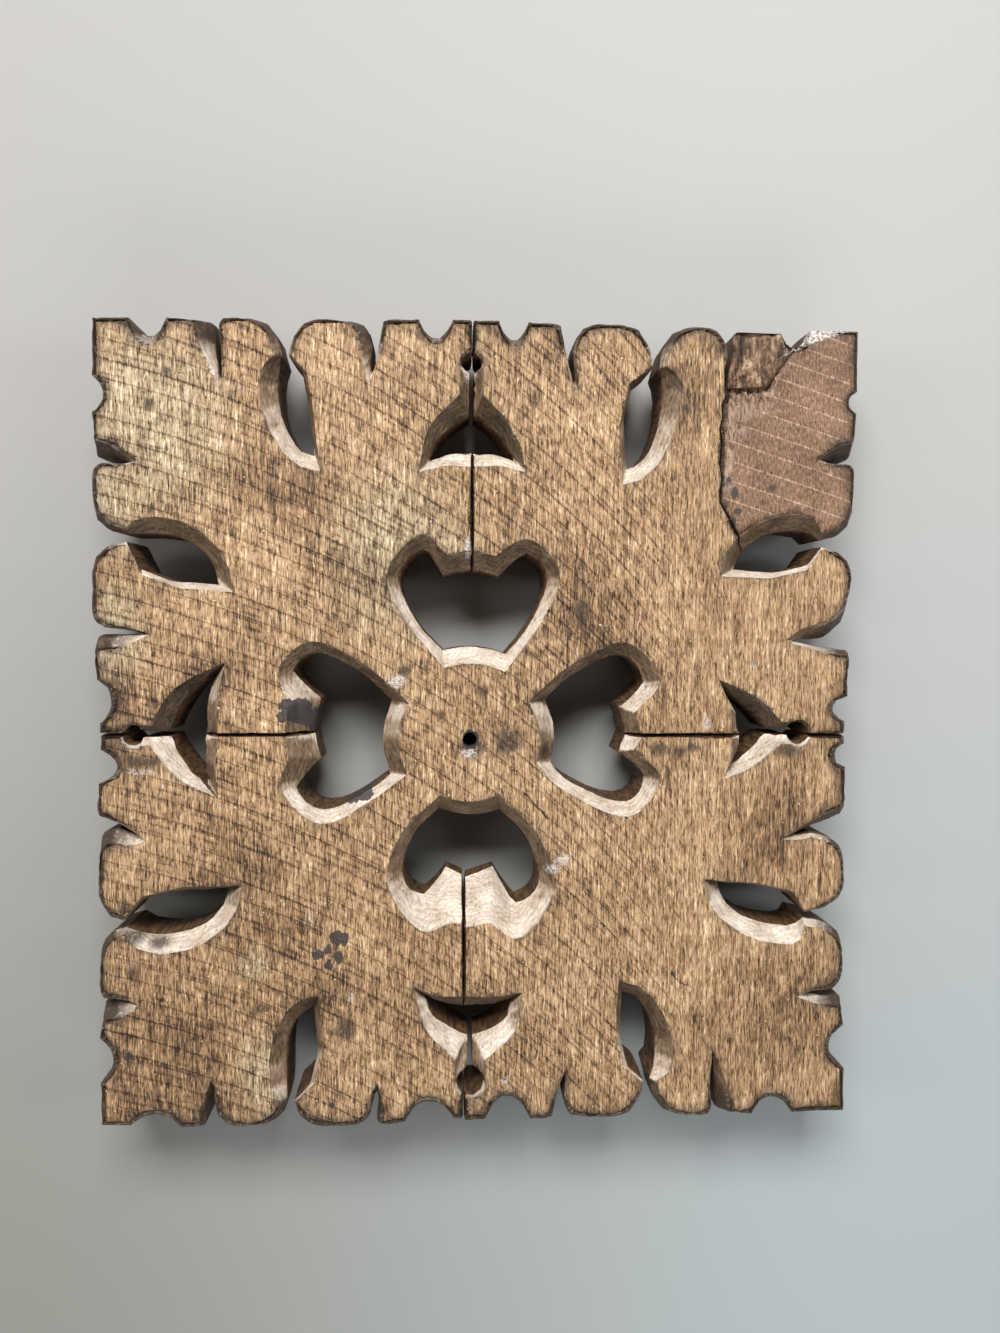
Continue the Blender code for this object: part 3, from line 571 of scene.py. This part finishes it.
# A thin facet along the let-in corner's top edge: its depth grows outwards from a slanting line
def topFacet(points):
    x, y = points[:, 0], points[:, 1]
    depth = (y - facet["y"] - (x - facet["x"]) * facet["slope"]) * facet["fall"]
    return np.clip(depth, 0, facet["most"]) * (x > facet["x"] - facet["overlap"])


# The kerfs run within this far of the middle lines, from here outwards; below the back their walls are furred
# with dirt, which stands out of the wood
kerfSide, kerfStart = 2.4, 50.0

# Depths of the oak's wear in mm: at the saw marks and between them, fibres, arrises worn and chipped (with the length
# over which each falls), the outer sides' rounding over its width, bevel facets, walls, kerf fur and tool marks
oakDepths = dict(
    groove=0.16, ripple=0.10, fibres=0.13, worn=0.16, wornMore=0.3, wornFall=0.9, chips=0.9, chipsFall=1.2,
    outer=1.3, outerWidth=2.6, bevel=0.06, facets=0.34, bevelRough=0.12, wall=0.05, wallRough=0.22,
    fur=0.16, furRough=0.22, furDeep=0.15, furFrom=2.5, furMore=(-7.0, -11.0), tool=0.05, tools=0.28, toolRough=0.08,
)


# Oak, as a depth into the wood. Back: grooves at the saw marks, a swell that grows from each to the next, fibres, and
# e^(-distance to the arris / fall) for worn and chipped arrises; the outer sides fall off by the square of nearness.
# Bevels: facets, the square of 1 - twice a noise's distance from its middle. Kerf walls: fur, above the wood.
# Carved face: tool marks, twice a noise's distance from its middle
def oakRelief(points, part):
    d = oakDepths
    flat = points * (1, 1, 0)
    phase, strength = sawPhase(points), sawStrength(points)
    off = np.abs(phase - np.round(phase))
    groove = (1 - ease(0.04, 0.22, off)) * strength
    swell = (phase - np.floor(phase)) * strength
    fibres = noise(points, (0.9, 9, 6), 11) * 0.5 + noise(points, (2.6, 22, 9), 12) * 0.5
    sunk = np.zeros(len(points))
    back = part["back"]
    sunk += np.where(back, d["groove"] * groove + d["ripple"] * swell + d["fibres"] * fibres, 0)
    fromArris = part["fromArris"]
    worn = d["worn"] + d["wornMore"] * ease(0.5, 0.8, roughNoise(flat, 9, 14))
    chips = d["chips"] * ease(0.66, 0.74, roughNoise(flat, (3.6, 5.5, 3), 15))
    sunk += np.where(back, np.exp(-fromArris / d["wornFall"]) * worn + np.exp(-fromArris / d["chipsFall"]) * chips, 0)
    outerArris = 1 - ease(*dirt["borderIn"], part["outer"])
    sunk += np.where(back, outerArris * d["outer"] * np.clip(1 - fromArris / d["outerWidth"], 0, 1) ** 2, 0)
    facets = np.abs(noise(points, (4.2, 4.2, 7), 16) - 0.5) * 2
    faceted = d["bevel"] + d["facets"] * (1 - facets) ** 2 + d["bevelRough"] * noise(points, 1.1, 17)
    sunk += np.where(part["bevel"] & ~part["arris"], faceted, 0)
    walls = ~(back | part["bevel"] | part["carved"])
    sunk += np.where(walls, d["wall"] + d["wallRough"] * noise(points, (1.6, 1.6, 14), 18), 0)
    x, y = np.abs(points[:, 0]), np.abs(points[:, 1])
    kerf = ((x < kerfSide) & (y > kerfStart)) | ((y < kerfSide) & (x > kerfStart))
    furred = kerf & (np.abs(part["normals"][:, 2]) < 0.3) & (points[:, 2] < -d["furFrom"])
    deep = d["furDeep"] * ease(*d["furMore"], points[:, 2])
    fur = d["fur"] + deep + (d["furRough"] - 0.6 * deep) * noise(points, (2.2, 2.2, 3.0), 29)
    sunk = np.where(furred, -fur, sunk)
    tooled = d["tool"] + d["tools"] * np.abs(noise(points, (7, 9, 7), 19) - 0.5) * 2 + d["toolRough"] * fibres
    sunk += np.where(part["carved"], tooled, 0)
    return sunk


# Depths of the let-in corner's wear in mm, as for the oak, with the torn slope's clefts and hollows, the frayed wood
# and the splintered rim
patchDepths = dict(
    groove=0.05, fibres=0.08, worn=0.25, wornFall=0.9, clefts=1.6, hollows=2.4, frayed=0.2, frayedMore=1.3,
    splinters=0.5, splintersMore=1.6, outer=0.9, outerWidth=2.2, bevel=0.05, bevelRough=0.2,
    wall=0.05, wallRough=0.18, tool=0.05, tools=0.25,
)


# The let-in corner, as a depth into the wood: a flatter sawn back; long fibres on the broken slope, whose clefts are
# the square of 1 - twice a noise's distance from its middle
def patchRelief(points, part):
    d = patchDepths
    phase = patchPhase(points)
    off = np.abs(phase - np.round(phase))
    back, fromArris = part["back"], part["fromArris"]
    sawn = d["groove"] * (1 - ease(0.03, 0.14, off)) + d["fibres"] * noise(points, (0.9, 6, 5), 21)
    sunk = np.where(back, sawn, 0)
    sunk += np.where(back, np.exp(-fromArris / d["wornFall"]) * d["worn"] * roughNoise(points, 4, 22), 0)
    fibre = roughNoise(points, (1.7, 11, 4), 23)
    ridge = np.abs(fibre - 0.5) * 2
    torn = d["clefts"] * (1 - ridge) ** 2 + d["hollows"] * noise(points, (5.2, 9, 5), 24)
    sunk += np.where(part["torn"], torn, 0)
    frayed = spotted(points, frayedSpots, 0.5, 1.6, 57)
    sunk += np.where(back, frayed * (d["frayed"] + d["frayedMore"] * (1 - ridge) ** 2), 0)
    sunk += part["broken"] * (d["splinters"] + d["splintersMore"] * noise(points, (1.6, 5, 4), 62))
    sunk += np.where(back, d["outer"] * np.clip(1 - fromArris / d["outerWidth"], 0, 1) ** 2, 0)
    cut = part["bevel"] & ~part["arris"]
    sunk += np.where(cut & ~part["torn"], d["bevel"] + d["bevelRough"] * noise(points, 2.4, 25), 0)
    walls = ~(back | part["bevel"] | part["carved"] | part["torn"])
    sunk += np.where(walls, d["wall"] + d["wallRough"] * noise(points, (1.6, 1.6, 14), 26), 0)
    sunk += np.where(part["carved"], d["tool"] + d["tools"] * noise(points, (7, 9, 7), 27), 0)
    return sunk


# Straight saw lines of the let-in piece: how far they fall to the right for each mm, their pitch, and how they waver
patchSaw = dict(slope=0.33, pitch=6.4, waver=0.16, waverSize=40)


# Counts the let-in piece's saw lines: (y + slope * x) / pitch, plus noise
def patchPhase(points):
    waver = patchSaw["waver"] * noise(points * (1, 1, 0), patchSaw["waverSize"], 28)
    return (points[:, 1] + points[:, 0] * patchSaw["slope"]) / patchSaw["pitch"] + waver


# Gives a node's socket a link or a plain value
def feed(tree, socket, value):
    if isinstance(value, bpy.types.NodeSocket):
        tree.links.new(value, socket)
    elif value is not None:
        socket.default_value = value


def addNode(tree, kind, feeds=(), **settings):
    node = tree.nodes.new("ShaderNode" + kind)
    for key, value in settings.items():
        setattr(node, key, value)
    for key, value in dict(feeds).items():
        feed(tree, node.inputs[key], value)
    return node


def calc(tree, operation, a, b=None, c=None):
    node = tree.nodes.new("ShaderNodeMath")
    node.operation = operation
    for socket, value in zip(node.inputs, (a, b, c)):
        feed(tree, socket, value)
    return node.outputs[0]


def valueOf(tree, name):
    return addNode(tree, "Attribute", attribute_name=name).outputs["Fac"]


# Object place in millimetres times a stretch for each axis
def placeAt(tree, stretch):
    place = tree.nodes.new("ShaderNodeTexCoord").outputs["Object"]
    node = addNode(tree, "VectorMath", {0: place, 1: tuple(s / metre for s in stretch)}, operation="MULTIPLY")
    return node.outputs[0]


# Shader noise, 0 to 1, with this many cells to the millimetre along each axis
def speckle(tree, stretch, detail=2.0, roughness=0.5, distortion=0.0):
    feeds = {"Vector": placeAt(tree, stretch), "Scale": 1.0, "Detail": detail, "Roughness": roughness,
             "Distortion": distortion}
    return addNode(tree, "TexNoise", feeds).outputs[0]


# 0 at low, 1 at high, smooth between, of a value
def easeNode(tree, low, high, value):
    feeds = {"Value": value, "From Min": low, "From Max": high}
    return addNode(tree, "MapRange", feeds, interpolation_type="SMOOTHSTEP").outputs[0]


def mixed(tree, share, first, second):
    node = tree.nodes.new("ShaderNodeMix")
    node.data_type = "RGBA"
    feed(tree, node.inputs[0], share)
    for index, value in ((6, first), (7, second)):
        feed(tree, node.inputs[index], (*value, 1) if isinstance(value, tuple) else value)
    return node.outputs[2]


def newMaterial(name, roughness=0.6):
    material = bpy.data.materials.new(name)
    material.use_nodes = True
    tree = material.node_tree
    shader = tree.nodes["Principled BSDF"]
    shader.inputs["Roughness"].default_value = roughness
    return material, tree, shader


def bumped(tree, shader, height, distance):
    node = addNode(tree, "Bump", {"Height": height, "Distance": distance * metre, "Strength": 1.0})
    tree.links.new(node.outputs[0], shader.inputs["Normal"])


# Linear colour of an sRGB reading, 0 to 255: ((v / 255 + 0.055) / 1.055) ^ 2.4
def tone(red, green, blue):
    return tuple(((v / 255 + 0.055) / 1.055) ** 2.4 for v in (red, green, blue))


# The colour of a value between stops, of which the first two are the ends
def ramped(tree, value, stops):
    node = tree.nodes.new("ShaderNodeValToRGB")
    bar = node.color_ramp
    for index, (place, colour) in enumerate(stops):
        stop = bar.elements[index] if index < 2 else bar.elements.new(place)
        stop.position = place
        stop.color = (*tone(*colour), 1)
    feed(tree, node.inputs[0], value)
    return node.outputs[0]


# Start plus the sum of value * weight
def weighed(tree, start, parts):
    total = start
    for value, weight in parts:
        total = calc(tree, "MULTIPLY_ADD", value, weight, total)
    return total


# (value - 0.5), so that a noise adds and takes away alike
def centred(tree, value):
    return calc(tree, "SUBTRACT", value, 0.5)


# Thin lines where a phase is whole: 1 in the middle, 0 beyond the half width, which is a share of the pitch
def linesAt(tree, phase, inner, half):
    off = calc(tree, "ABSOLUTE", calc(tree, "SUBTRACT", phase, calc(tree, "ROUND", phase)))
    return calc(tree, "SUBTRACT", 1.0, easeNode(tree, inner, half, off))


# A scratch wavers by this far, and fades over its ends
scratchWaver, scratchEnd = 2.2, 1.5


# 1 on a thin straight line on the back between two places in millimetres, its run made uneven by noise
def scratchOn(tree, start, end, half):
    length = math.dist(start, end)
    along = ((end[0] - start[0]) / length, (end[1] - start[1]) / length, 0)
    place = addNode(tree, "VectorMath", {0: placeAt(tree, (1, 1, 1)), 1: (*start, 0)}, operation="SUBTRACT").outputs[0]
    run = addNode(tree, "VectorMath", {0: place, 1: along}, operation="DOT_PRODUCT").outputs["Value"]
    side = (-along[1], along[0], 0)
    off = addNode(tree, "VectorMath", {0: place, 1: side}, operation="DOT_PRODUCT").outputs["Value"]
    wobble = centred(tree, speckle(tree, (0.3, 0.3, 0.3), 3.0, 0.6))
    off = calc(tree, "ABSOLUTE", calc(tree, "MULTIPLY_ADD", wobble, scratchWaver, off))
    across = calc(tree, "SUBTRACT", 1.0, easeNode(tree, half * 0.5, half, off))
    begun, ended = easeNode(tree, 0.0, scratchEnd, run), easeNode(tree, length, length - scratchEnd, run)
    return calc(tree, "MULTIPLY", across, calc(tree, "MULTIPLY", begun, ended))


# Cracks and scratches in the back: start, end, half width
scratches = [
    ((17.3, -16.7), (26.7, -26.7), 0.45), ((67.2, -78.5), (70.8, -81.8), 0.35), ((70.5, -81.6), (74.4, -83.7), 0.35),
    ((-59.0, 13.5), (-49.0, 11.0), 0.3),
]

# Colours along each ramp: place, then red, green and blue as read, 0 to 255
oakStops = [
    (0.0, (44, 31, 21)), (1.0, (246, 226, 188)), (0.18, (88, 65, 43)), (0.36, (130, 99, 69)), (0.52, (166, 132, 97)),
    (0.68, (193, 158, 119)), (0.84, (219, 186, 146)),
]
paleStops = [
    (0.0, (52, 40, 28)), (1.0, (255, 243, 212)), (0.18, (98, 78, 55)), (0.36, (142, 120, 91)), (0.52, (176, 154, 121)),
    (0.68, (205, 184, 151)), (0.84, (233, 214, 181)),
]
cutStops = [
    (0.0, (40, 30, 23)), (1.0, (244, 234, 222)), (0.25, (92, 74, 54)), (0.5, (146, 122, 98)), (0.75, (204, 186, 168)),
]
patchStops = [
    (0.0, (58, 40, 30)), (1.0, (222, 190, 168)), (0.3, (112, 82, 62)), (0.5, (140, 108, 85)), (0.75, (176, 142, 118)),
]
bareStops = [(0.36, (70, 53, 43)), (0.62, (196, 166, 140))]
tornStops = [
    (0.0, (24, 18, 15)), (1.0, (200, 174, 146)), (0.3, (70, 51, 38)), (0.55, (124, 94, 70)), (0.8, (160, 130, 102)),
]

# Single colours: grime, chalk, tar, the back's pale specks, and the walls' dark and light streaks
tones = dict(
    grime=(56, 44, 36), chalk=(214, 206, 204), tar=(58, 54, 56), speck=(226, 214, 178),
    wallDark=(58, 41, 27), wallLight=(116, 86, 58),
)


# Brightness of old oak: fibre streaks along y, dark pores, light flecks, clouds of dirt, then the saw marks
def oakTone(tree, sawn):
    streak = speckle(tree, (0.85, 0.035, 0.2), 4.0, 0.62, 0.2)
    long = speckle(tree, (1.35, 0.11, 0.3), 4.0, 0.65, 0.3)
    short = speckle(tree, (2.5, 0.30, 0.7), 3.0, 0.62)
    cloud = speckle(tree, (0.035, 0.03, 0.04), 5.0, 0.62)
    patchy = speckle(tree, (0.24, 0.12, 0.2), 3.0, 0.6)
    pores = easeNode(tree, 0.57, 0.66, speckle(tree, (2.0, 0.26, 0.7), 2.0, 0.55, 0.2))
    flecks = easeNode(tree, 0.58, 0.70, speckle(tree, (1.7, 0.42, 0.6), 2.0, 0.6))
    clouds = [(streak, 0.85), (long, 1.1), (short, 1.3), (cloud, 0.6), (patchy, 0.55)]
    parts = [(centred(tree, value), weight) for value, weight in clouds] + [(pores, -0.29), (flecks, 0.22)]
    height = calc(tree, "MULTIPLY_ADD", pores, -0.7, short)
    if sawn:
        phase, strength = valueOf(tree, "saw"), valueOf(tree, "sawStrength")
        jag = calc(tree, "MULTIPLY", centred(tree, speckle(tree, (1.3, 0.2, 0.5), 2.0, 0.6)), 0.22)
        ragged = calc(tree, "ADD", phase, jag)
        perLine = addNode(tree, "TexWhiteNoise", {"W": calc(tree, "ROUND", phase)}, noise_dimensions="1D").outputs[0]
        broken = easeNode(tree, 0.30, 0.46, speckle(tree, (0.35, 0.5, 0.4), 3.0, 0.6))
        line = calc(tree, "MULTIPLY", linesAt(tree, ragged, 0.015, 0.080), calc(tree, "MULTIPLY", strength, broken))
        line = calc(tree, "MULTIPLY", line, calc(tree, "MULTIPLY_ADD", perLine, 0.5, 0.6))
        fringe = calc(tree, "MULTIPLY", linesAt(tree, calc(tree, "ADD", ragged, 0.09), 0.02, 0.16), strength)
        fringe = calc(tree, "MULTIPLY", fringe, easeNode(tree, 0.46, 0.60, speckle(tree, (1.5, 0.3, 0.5), 2.0, 0.6)))
        tears = linesAt(tree, calc(tree, "MULTIPLY", ragged, 2.6), 0.04, 0.30)
        torn = easeNode(tree, 0.47, 0.60, speckle(tree, (0.12, 0.16, 0.2), 4.0, 0.7))
        tears = calc(tree, "MULTIPLY", calc(tree, "MULTIPLY", tears, torn), strength)
        parts += [(line, -0.30), (fringe, -0.17), (tears, -0.22)]
        height = calc(tree, "MULTIPLY_ADD", calc(tree, "MAXIMUM", line, tears), -0.9, height)
    return parts, height


# Dirt, chalk and tar laid over a wood colour
def stained(tree, colour, dirty=0.86):
    grain = easeNode(tree, 0.22, 0.50, speckle(tree, (0.9, 0.5, 0.5), 4.0, 0.65))
    share = calc(tree, "MULTIPLY", calc(tree, "MULTIPLY", valueOf(tree, "grime"), dirty), grain)
    colour = mixed(tree, share, colour, tone(*tones["grime"]))
    crumbs = easeNode(tree, 0.40, 0.54, speckle(tree, (1.3, 1.3, 1.3), 2.0, 0.6))
    colour = mixed(tree, calc(tree, "MULTIPLY", valueOf(tree, "chalk"), crumbs), colour, tone(*tones["chalk"]))
    ragged = centred(tree, speckle(tree, (1.0, 0.7, 0.8), 3.0, 0.65))
    tarry = easeNode(tree, 0.40, 0.52, calc(tree, "MULTIPLY_ADD", ragged, 0.9, valueOf(tree, "tar")))
    return mixed(tree, calc(tree, "MULTIPLY", tarry, 0.92), colour, tone(*tones["tar"]))


# The sawn back of the oak
def sawnOak():
    material, tree, shader = newMaterial("sawn_oak", 0.62)
    parts, height = oakTone(tree, True)
    parts += [(valueOf(tree, "pale"), -0.01), (valueOf(tree, "brown"), -0.16)]
    parts += [(scratchOn(tree, *scratch), -0.45) for scratch in scratches]
    value = weighed(tree, 0.56, parts)
    colour = mixed(tree, valueOf(tree, "pale"), ramped(tree, value, oakStops), ramped(tree, value, paleStops))
    specks = easeNode(tree, 0.74, 0.79, speckle(tree, (0.8, 0.8, 0.8), 1.0, 0.5))
    colour = mixed(tree, specks, colour, tone(*tones["speck"]))
    tree.links.new(stained(tree, colour), shader.inputs["Base Color"])
    bumped(tree, shader, height, 0.22)
    return material


# Knife-cut bevels: paler where they face +y, toward the window, as painted highlight with some dust, and darker brown
# where they face away, as painted shade with some grime; painted shade also on the bell openings' upper bevels. The
# growth rings show as thin lines at even depths
def cutOak():
    material, tree, shader = newMaterial("cut_oak_painted_light", 0.55)
    faceToLight = valueOf(tree, "faceToLight")
    fine = speckle(tree, (1.1, 0.5, 1.1), 4.0, 0.6)
    cloud = speckle(tree, (0.12, 0.12, 0.2), 4.0, 0.6)
    depth = addNode(tree, "SeparateXYZ", {0: placeAt(tree, (0, 0, 0.75))}).outputs[2]
    rings = calc(tree, "MULTIPLY_ADD", speckle(tree, (0.09, 0.06, 0.1), 2.0, 0.5), 7.0, depth)
    rings = linesAt(tree, rings, 0.02, 0.30)
    nicks = easeNode(tree, 0.60, 0.68, speckle(tree, (1.5, 0.5, 0.9), 2.0, 0.5))
    # Painted highlight and shade: the value rises as the bevel turns to the window at +y and falls as it turns away
    paintedLit = easeNode(tree, -0.20, 0.46, faceToLight)
    value = calc(tree, "MULTIPLY_ADD", paintedLit, 0.50, 0.36)
    # Painted shade, deeper on the bell openings' bevels that look away from the window
    shaded = calc(tree, "MULTIPLY", valueOf(tree, "bellShade"), calc(tree, "SUBTRACT", 1.0, paintedLit))
    value = weighed(tree, value, [
        (centred(tree, fine), 0.5), (centred(tree, cloud), 0.7), (rings, -0.10), (nicks, -0.16),
        (valueOf(tree, "brown"), -0.06), (shaded, -0.13),
    ])
    tree.links.new(stained(tree, ramped(tree, value, cutStops)), shader.inputs["Base Color"])
    bumped(tree, shader, fine, 0.2)
    return material


# Fretsawn walls: dark old oak
def wallOak():
    material, tree, shader = newMaterial("wall_oak", 0.7)
    streaks = speckle(tree, (0.9, 0.9, 0.16), 4.0, 0.6)
    light = easeNode(tree, 0.34, 0.66, streaks)
    colour = mixed(tree, light, tone(*tones["wallDark"]), tone(*tones["wallLight"]))
    tree.links.new(stained(tree, colour, 0.55), shader.inputs["Base Color"])
    bumped(tree, shader, streaks, 0.25)
    return material


# The carved face: oiled dark oak with grain along y
def carvedOak():
    material, tree, shader = newMaterial("carved_oak", 0.5)
    parts, height = oakTone(tree, False)
    colour = ramped(tree, weighed(tree, 0.29, parts), oakStops)
    tree.links.new(colour, shader.inputs["Base Color"])
    bumped(tree, shader, height, 0.2)
    return material


# The let-in corner's back: redder wood with small pores and fine pale saw lines
def patchWood():
    material, tree, shader = newMaterial("patch_wood", 0.6)
    fine = speckle(tree, (1.8, 0.5, 0.8), 4.0, 0.65)
    cloud = speckle(tree, (0.08, 0.05, 0.1), 4.0, 0.6)
    pores = easeNode(tree, 0.60, 0.68, speckle(tree, (2.2, 1.0, 1.0), 1.0, 0.5))
    broken = easeNode(tree, 0.34, 0.50, speckle(tree, (0.4, 1.2, 0.5), 3.0, 0.6))
    line = calc(tree, "MULTIPLY", linesAt(tree, valueOf(tree, "patchLine"), 0.015, 0.07), broken)
    value = weighed(tree, 0.45, [
        (centred(tree, fine), 1.7), (centred(tree, cloud), 0.6), (pores, -0.24), (line, 0.30),
    ])
    bare = ramped(tree, speckle(tree, (0.9, 0.2, 0.4), 4.0, 0.65, 0.8), bareStops)
    share = calc(tree, "MULTIPLY", valueOf(tree, "frayed"), 0.9)
    colour = mixed(tree, share, ramped(tree, value, patchStops), bare)
    tree.links.new(stained(tree, colour), shader.inputs["Base Color"])
    bumped(tree, shader, fine, 0.15)
    return material


# The broken slope: long dark fibres with bare brown wood between them
def tornWood():
    material, tree, shader = newMaterial("torn_patch", 0.65)
    fibres = speckle(tree, (0.75, 0.14, 0.4), 4.0, 0.65, 0.8)
    blocks = speckle(tree, (0.16, 0.10, 0.2), 3.0, 0.6, 0.5)
    value = weighed(tree, 0.50, [(centred(tree, fibres), 1.9), (centred(tree, blocks), 3.0)])
    tree.links.new(stained(tree, ramped(tree, value, tornStops), 0.3), shader.inputs["Base Color"])
    bumped(tree, shader, fibres, 0.6)
    return material


# Each piece's mesh and looks: the back's spacing, the edge lengths wanted at these depths, material slots by kind, how
# strongly the saw marks show, and the part of the let-in corner that is torn
oakLook = dict(
    spacing=1.02, depths=(0, 3, 8, 16, 34), lengths=(1.5, 2.0, 4.2, 9.0, 6.0), relief=oakRelief,
    slots=(0, 1, 2, 3, 2), sawShow=1.0, torn=False, facet=noFacet, frayed=(),
)
patchLook = dict(
    spacing=0.6, depths=(0, 3, 8, 16, 34), lengths=(0.7, 0.9, 2.0, 4.0, 4.0), relief=patchRelief,
    slots=(0, 1, 2, 3, 4), sawShow=0.0, torn=True, tornFrom=110.0, tornTo=110.0, facet=topFacet, frayed=frayedSpots,
)

oakMaterials = [sawnOak(), cutOak(), wallOak(), carvedOak()]
body = makePiece("oak_boss", "boss_body", oakLook, oakMaterials)
print("oak boss made")

patchMaterials = [patchWood(), oakMaterials[1], oakMaterials[2], oakMaterials[3], tornWood()]
corner = makePiece("let_in_corner", "corner_patch", patchLook, patchMaterials)
places = np.empty(len(corner.data.vertices) * 3)
corner.data.vertices.foreach_get("co", places)
layer = corner.data.attributes.new("patchLine", "FLOAT", "POINT")
layer.data.foreach_set("value", patchPhase(places.reshape(-1, 3) / metre).astype(np.float32))
print("let-in corner made")


# The floor: pale grey, its tone a painted fall-off of light, darker from the picture's top to its bottom and from its
# right to its left, in mm
floorWithPaintedFalloff = dict(
    size=3.0, top=175.0, bottom=-235.0, sides=(-180.0, 180.0), topLeft=(171, 170, 169), bottomLeft=(147, 147, 142),
    topRight=(184, 184, 183), bottomRight=(176, 185, 188),
)


def makeFloor():
    size = floorWithPaintedFalloff["size"]
    z = cadBox[0].z
    mesh = bpy.data.meshes.new("floor")
    mesh.from_pydata([(-size, -size, z), (size, -size, z), (size, size, z), (-size, size, z)], [], [(0, 1, 2, 3)])
    floor = bpy.data.objects.new("floor", mesh)
    bpy.context.scene.collection.objects.link(floor)
    material, tree, shader = newMaterial("floor_painted_falloff", 0.75)
    place = addNode(tree, "SeparateXYZ", {0: placeAt(tree, (1, 1, 1))})
    down = easeNode(tree, floorWithPaintedFalloff["top"], floorWithPaintedFalloff["bottom"], place.outputs[1])
    left = mixed(tree, down, tone(*floorWithPaintedFalloff["topLeft"]), tone(*floorWithPaintedFalloff["bottomLeft"]))
    right = mixed(tree, down, tone(*floorWithPaintedFalloff["topRight"]), tone(*floorWithPaintedFalloff["bottomRight"]))
    colour = mixed(tree, easeNode(tree, *floorWithPaintedFalloff["sides"], place.outputs[0]), left, right)
    tree.links.new(colour, shader.inputs["Base Color"])
    mesh.materials.append(material)


# A rectangular light, its sizes in metres and its power in watts
def makeLight(name, place, target, size, power, colour):
    light = bpy.data.lights.new(name, "AREA")
    light.shape = "RECTANGLE"
    light.size, light.size_y = size
    light.energy = power
    light.color = colour
    lamp = bpy.data.objects.new(name, light)
    bpy.context.scene.collection.objects.link(lamp)
    lamp.location = place
    aim = Vector(target) - Vector(place)
    lamp.rotation_euler = aim.to_track_quat("-Z", "Y").to_euler()


# The lights: a window beyond the board's top edge, the room behind the photographer, and weak ones at both sides
lights = dict(
    window=dict(
        place=(-0.12, 0.86, 0.93), target=(0, 0.02, 0), size=(0.85, 0.45), power=21.0, colour=(1.0, 0.985, 0.95),
    ),
    room=dict(place=(0.15, -0.95, 0.62), target=(0, 0, 0), size=(1.0, 0.35), power=4.6, colour=(0.99, 0.99, 1.0)),
    left=dict(place=(-1.05, 0.1, 0.60), target=(0, 0, 0), size=(0.35, 0.9), power=3.6, colour=(1.0, 0.98, 0.95)),
    right=dict(place=(1.05, 0.1, 0.60), target=(0, 0, 0), size=(0.35, 0.9), power=3.6, colour=(0.97, 0.99, 1.0)),
)
sky = dict(colour=(0.97, 0.98, 1.0, 1), strength=0.035)

# The camera as fitted to the photograph: lens and sensor in millimetres, place in metres, and its three directions
eye = dict(
    lens=27, sensor=36, nearest=0.01, place=(-0.0065, 0.0377, 0.3289), right=(0.99877, 0.00414, 0.04949),
    up=(-0.00213, 0.99917, -0.04068), forward=(0.04962, -0.04052, -0.99795),
)

makeFloor()
for name, light in lights.items():
    makeLight(name, **light)
print("floor and lights made")

world = bpy.data.worlds.new("studio")
world.use_nodes = True
background = world.node_tree.nodes["Background"]
background.inputs["Color"].default_value = sky["colour"]
background.inputs["Strength"].default_value = sky["strength"]
bpy.context.scene.world = world
bpy.context.scene.view_settings.view_transform = "Standard"

cameraData = bpy.data.cameras.new("camera")
cameraData.lens = eye["lens"]
cameraData.sensor_width = eye["sensor"]
cameraData.clip_start = eye["nearest"]
camera = bpy.data.objects.new("camera", cameraData)
bpy.context.scene.collection.objects.link(camera)
turn = Matrix((eye["right"], eye["up"], -Vector(eye["forward"]))).transposed().to_4x4()
camera.matrix_world = Matrix.Translation(eye["place"]) @ turn
bpy.context.scene.camera = camera
print("camera set")
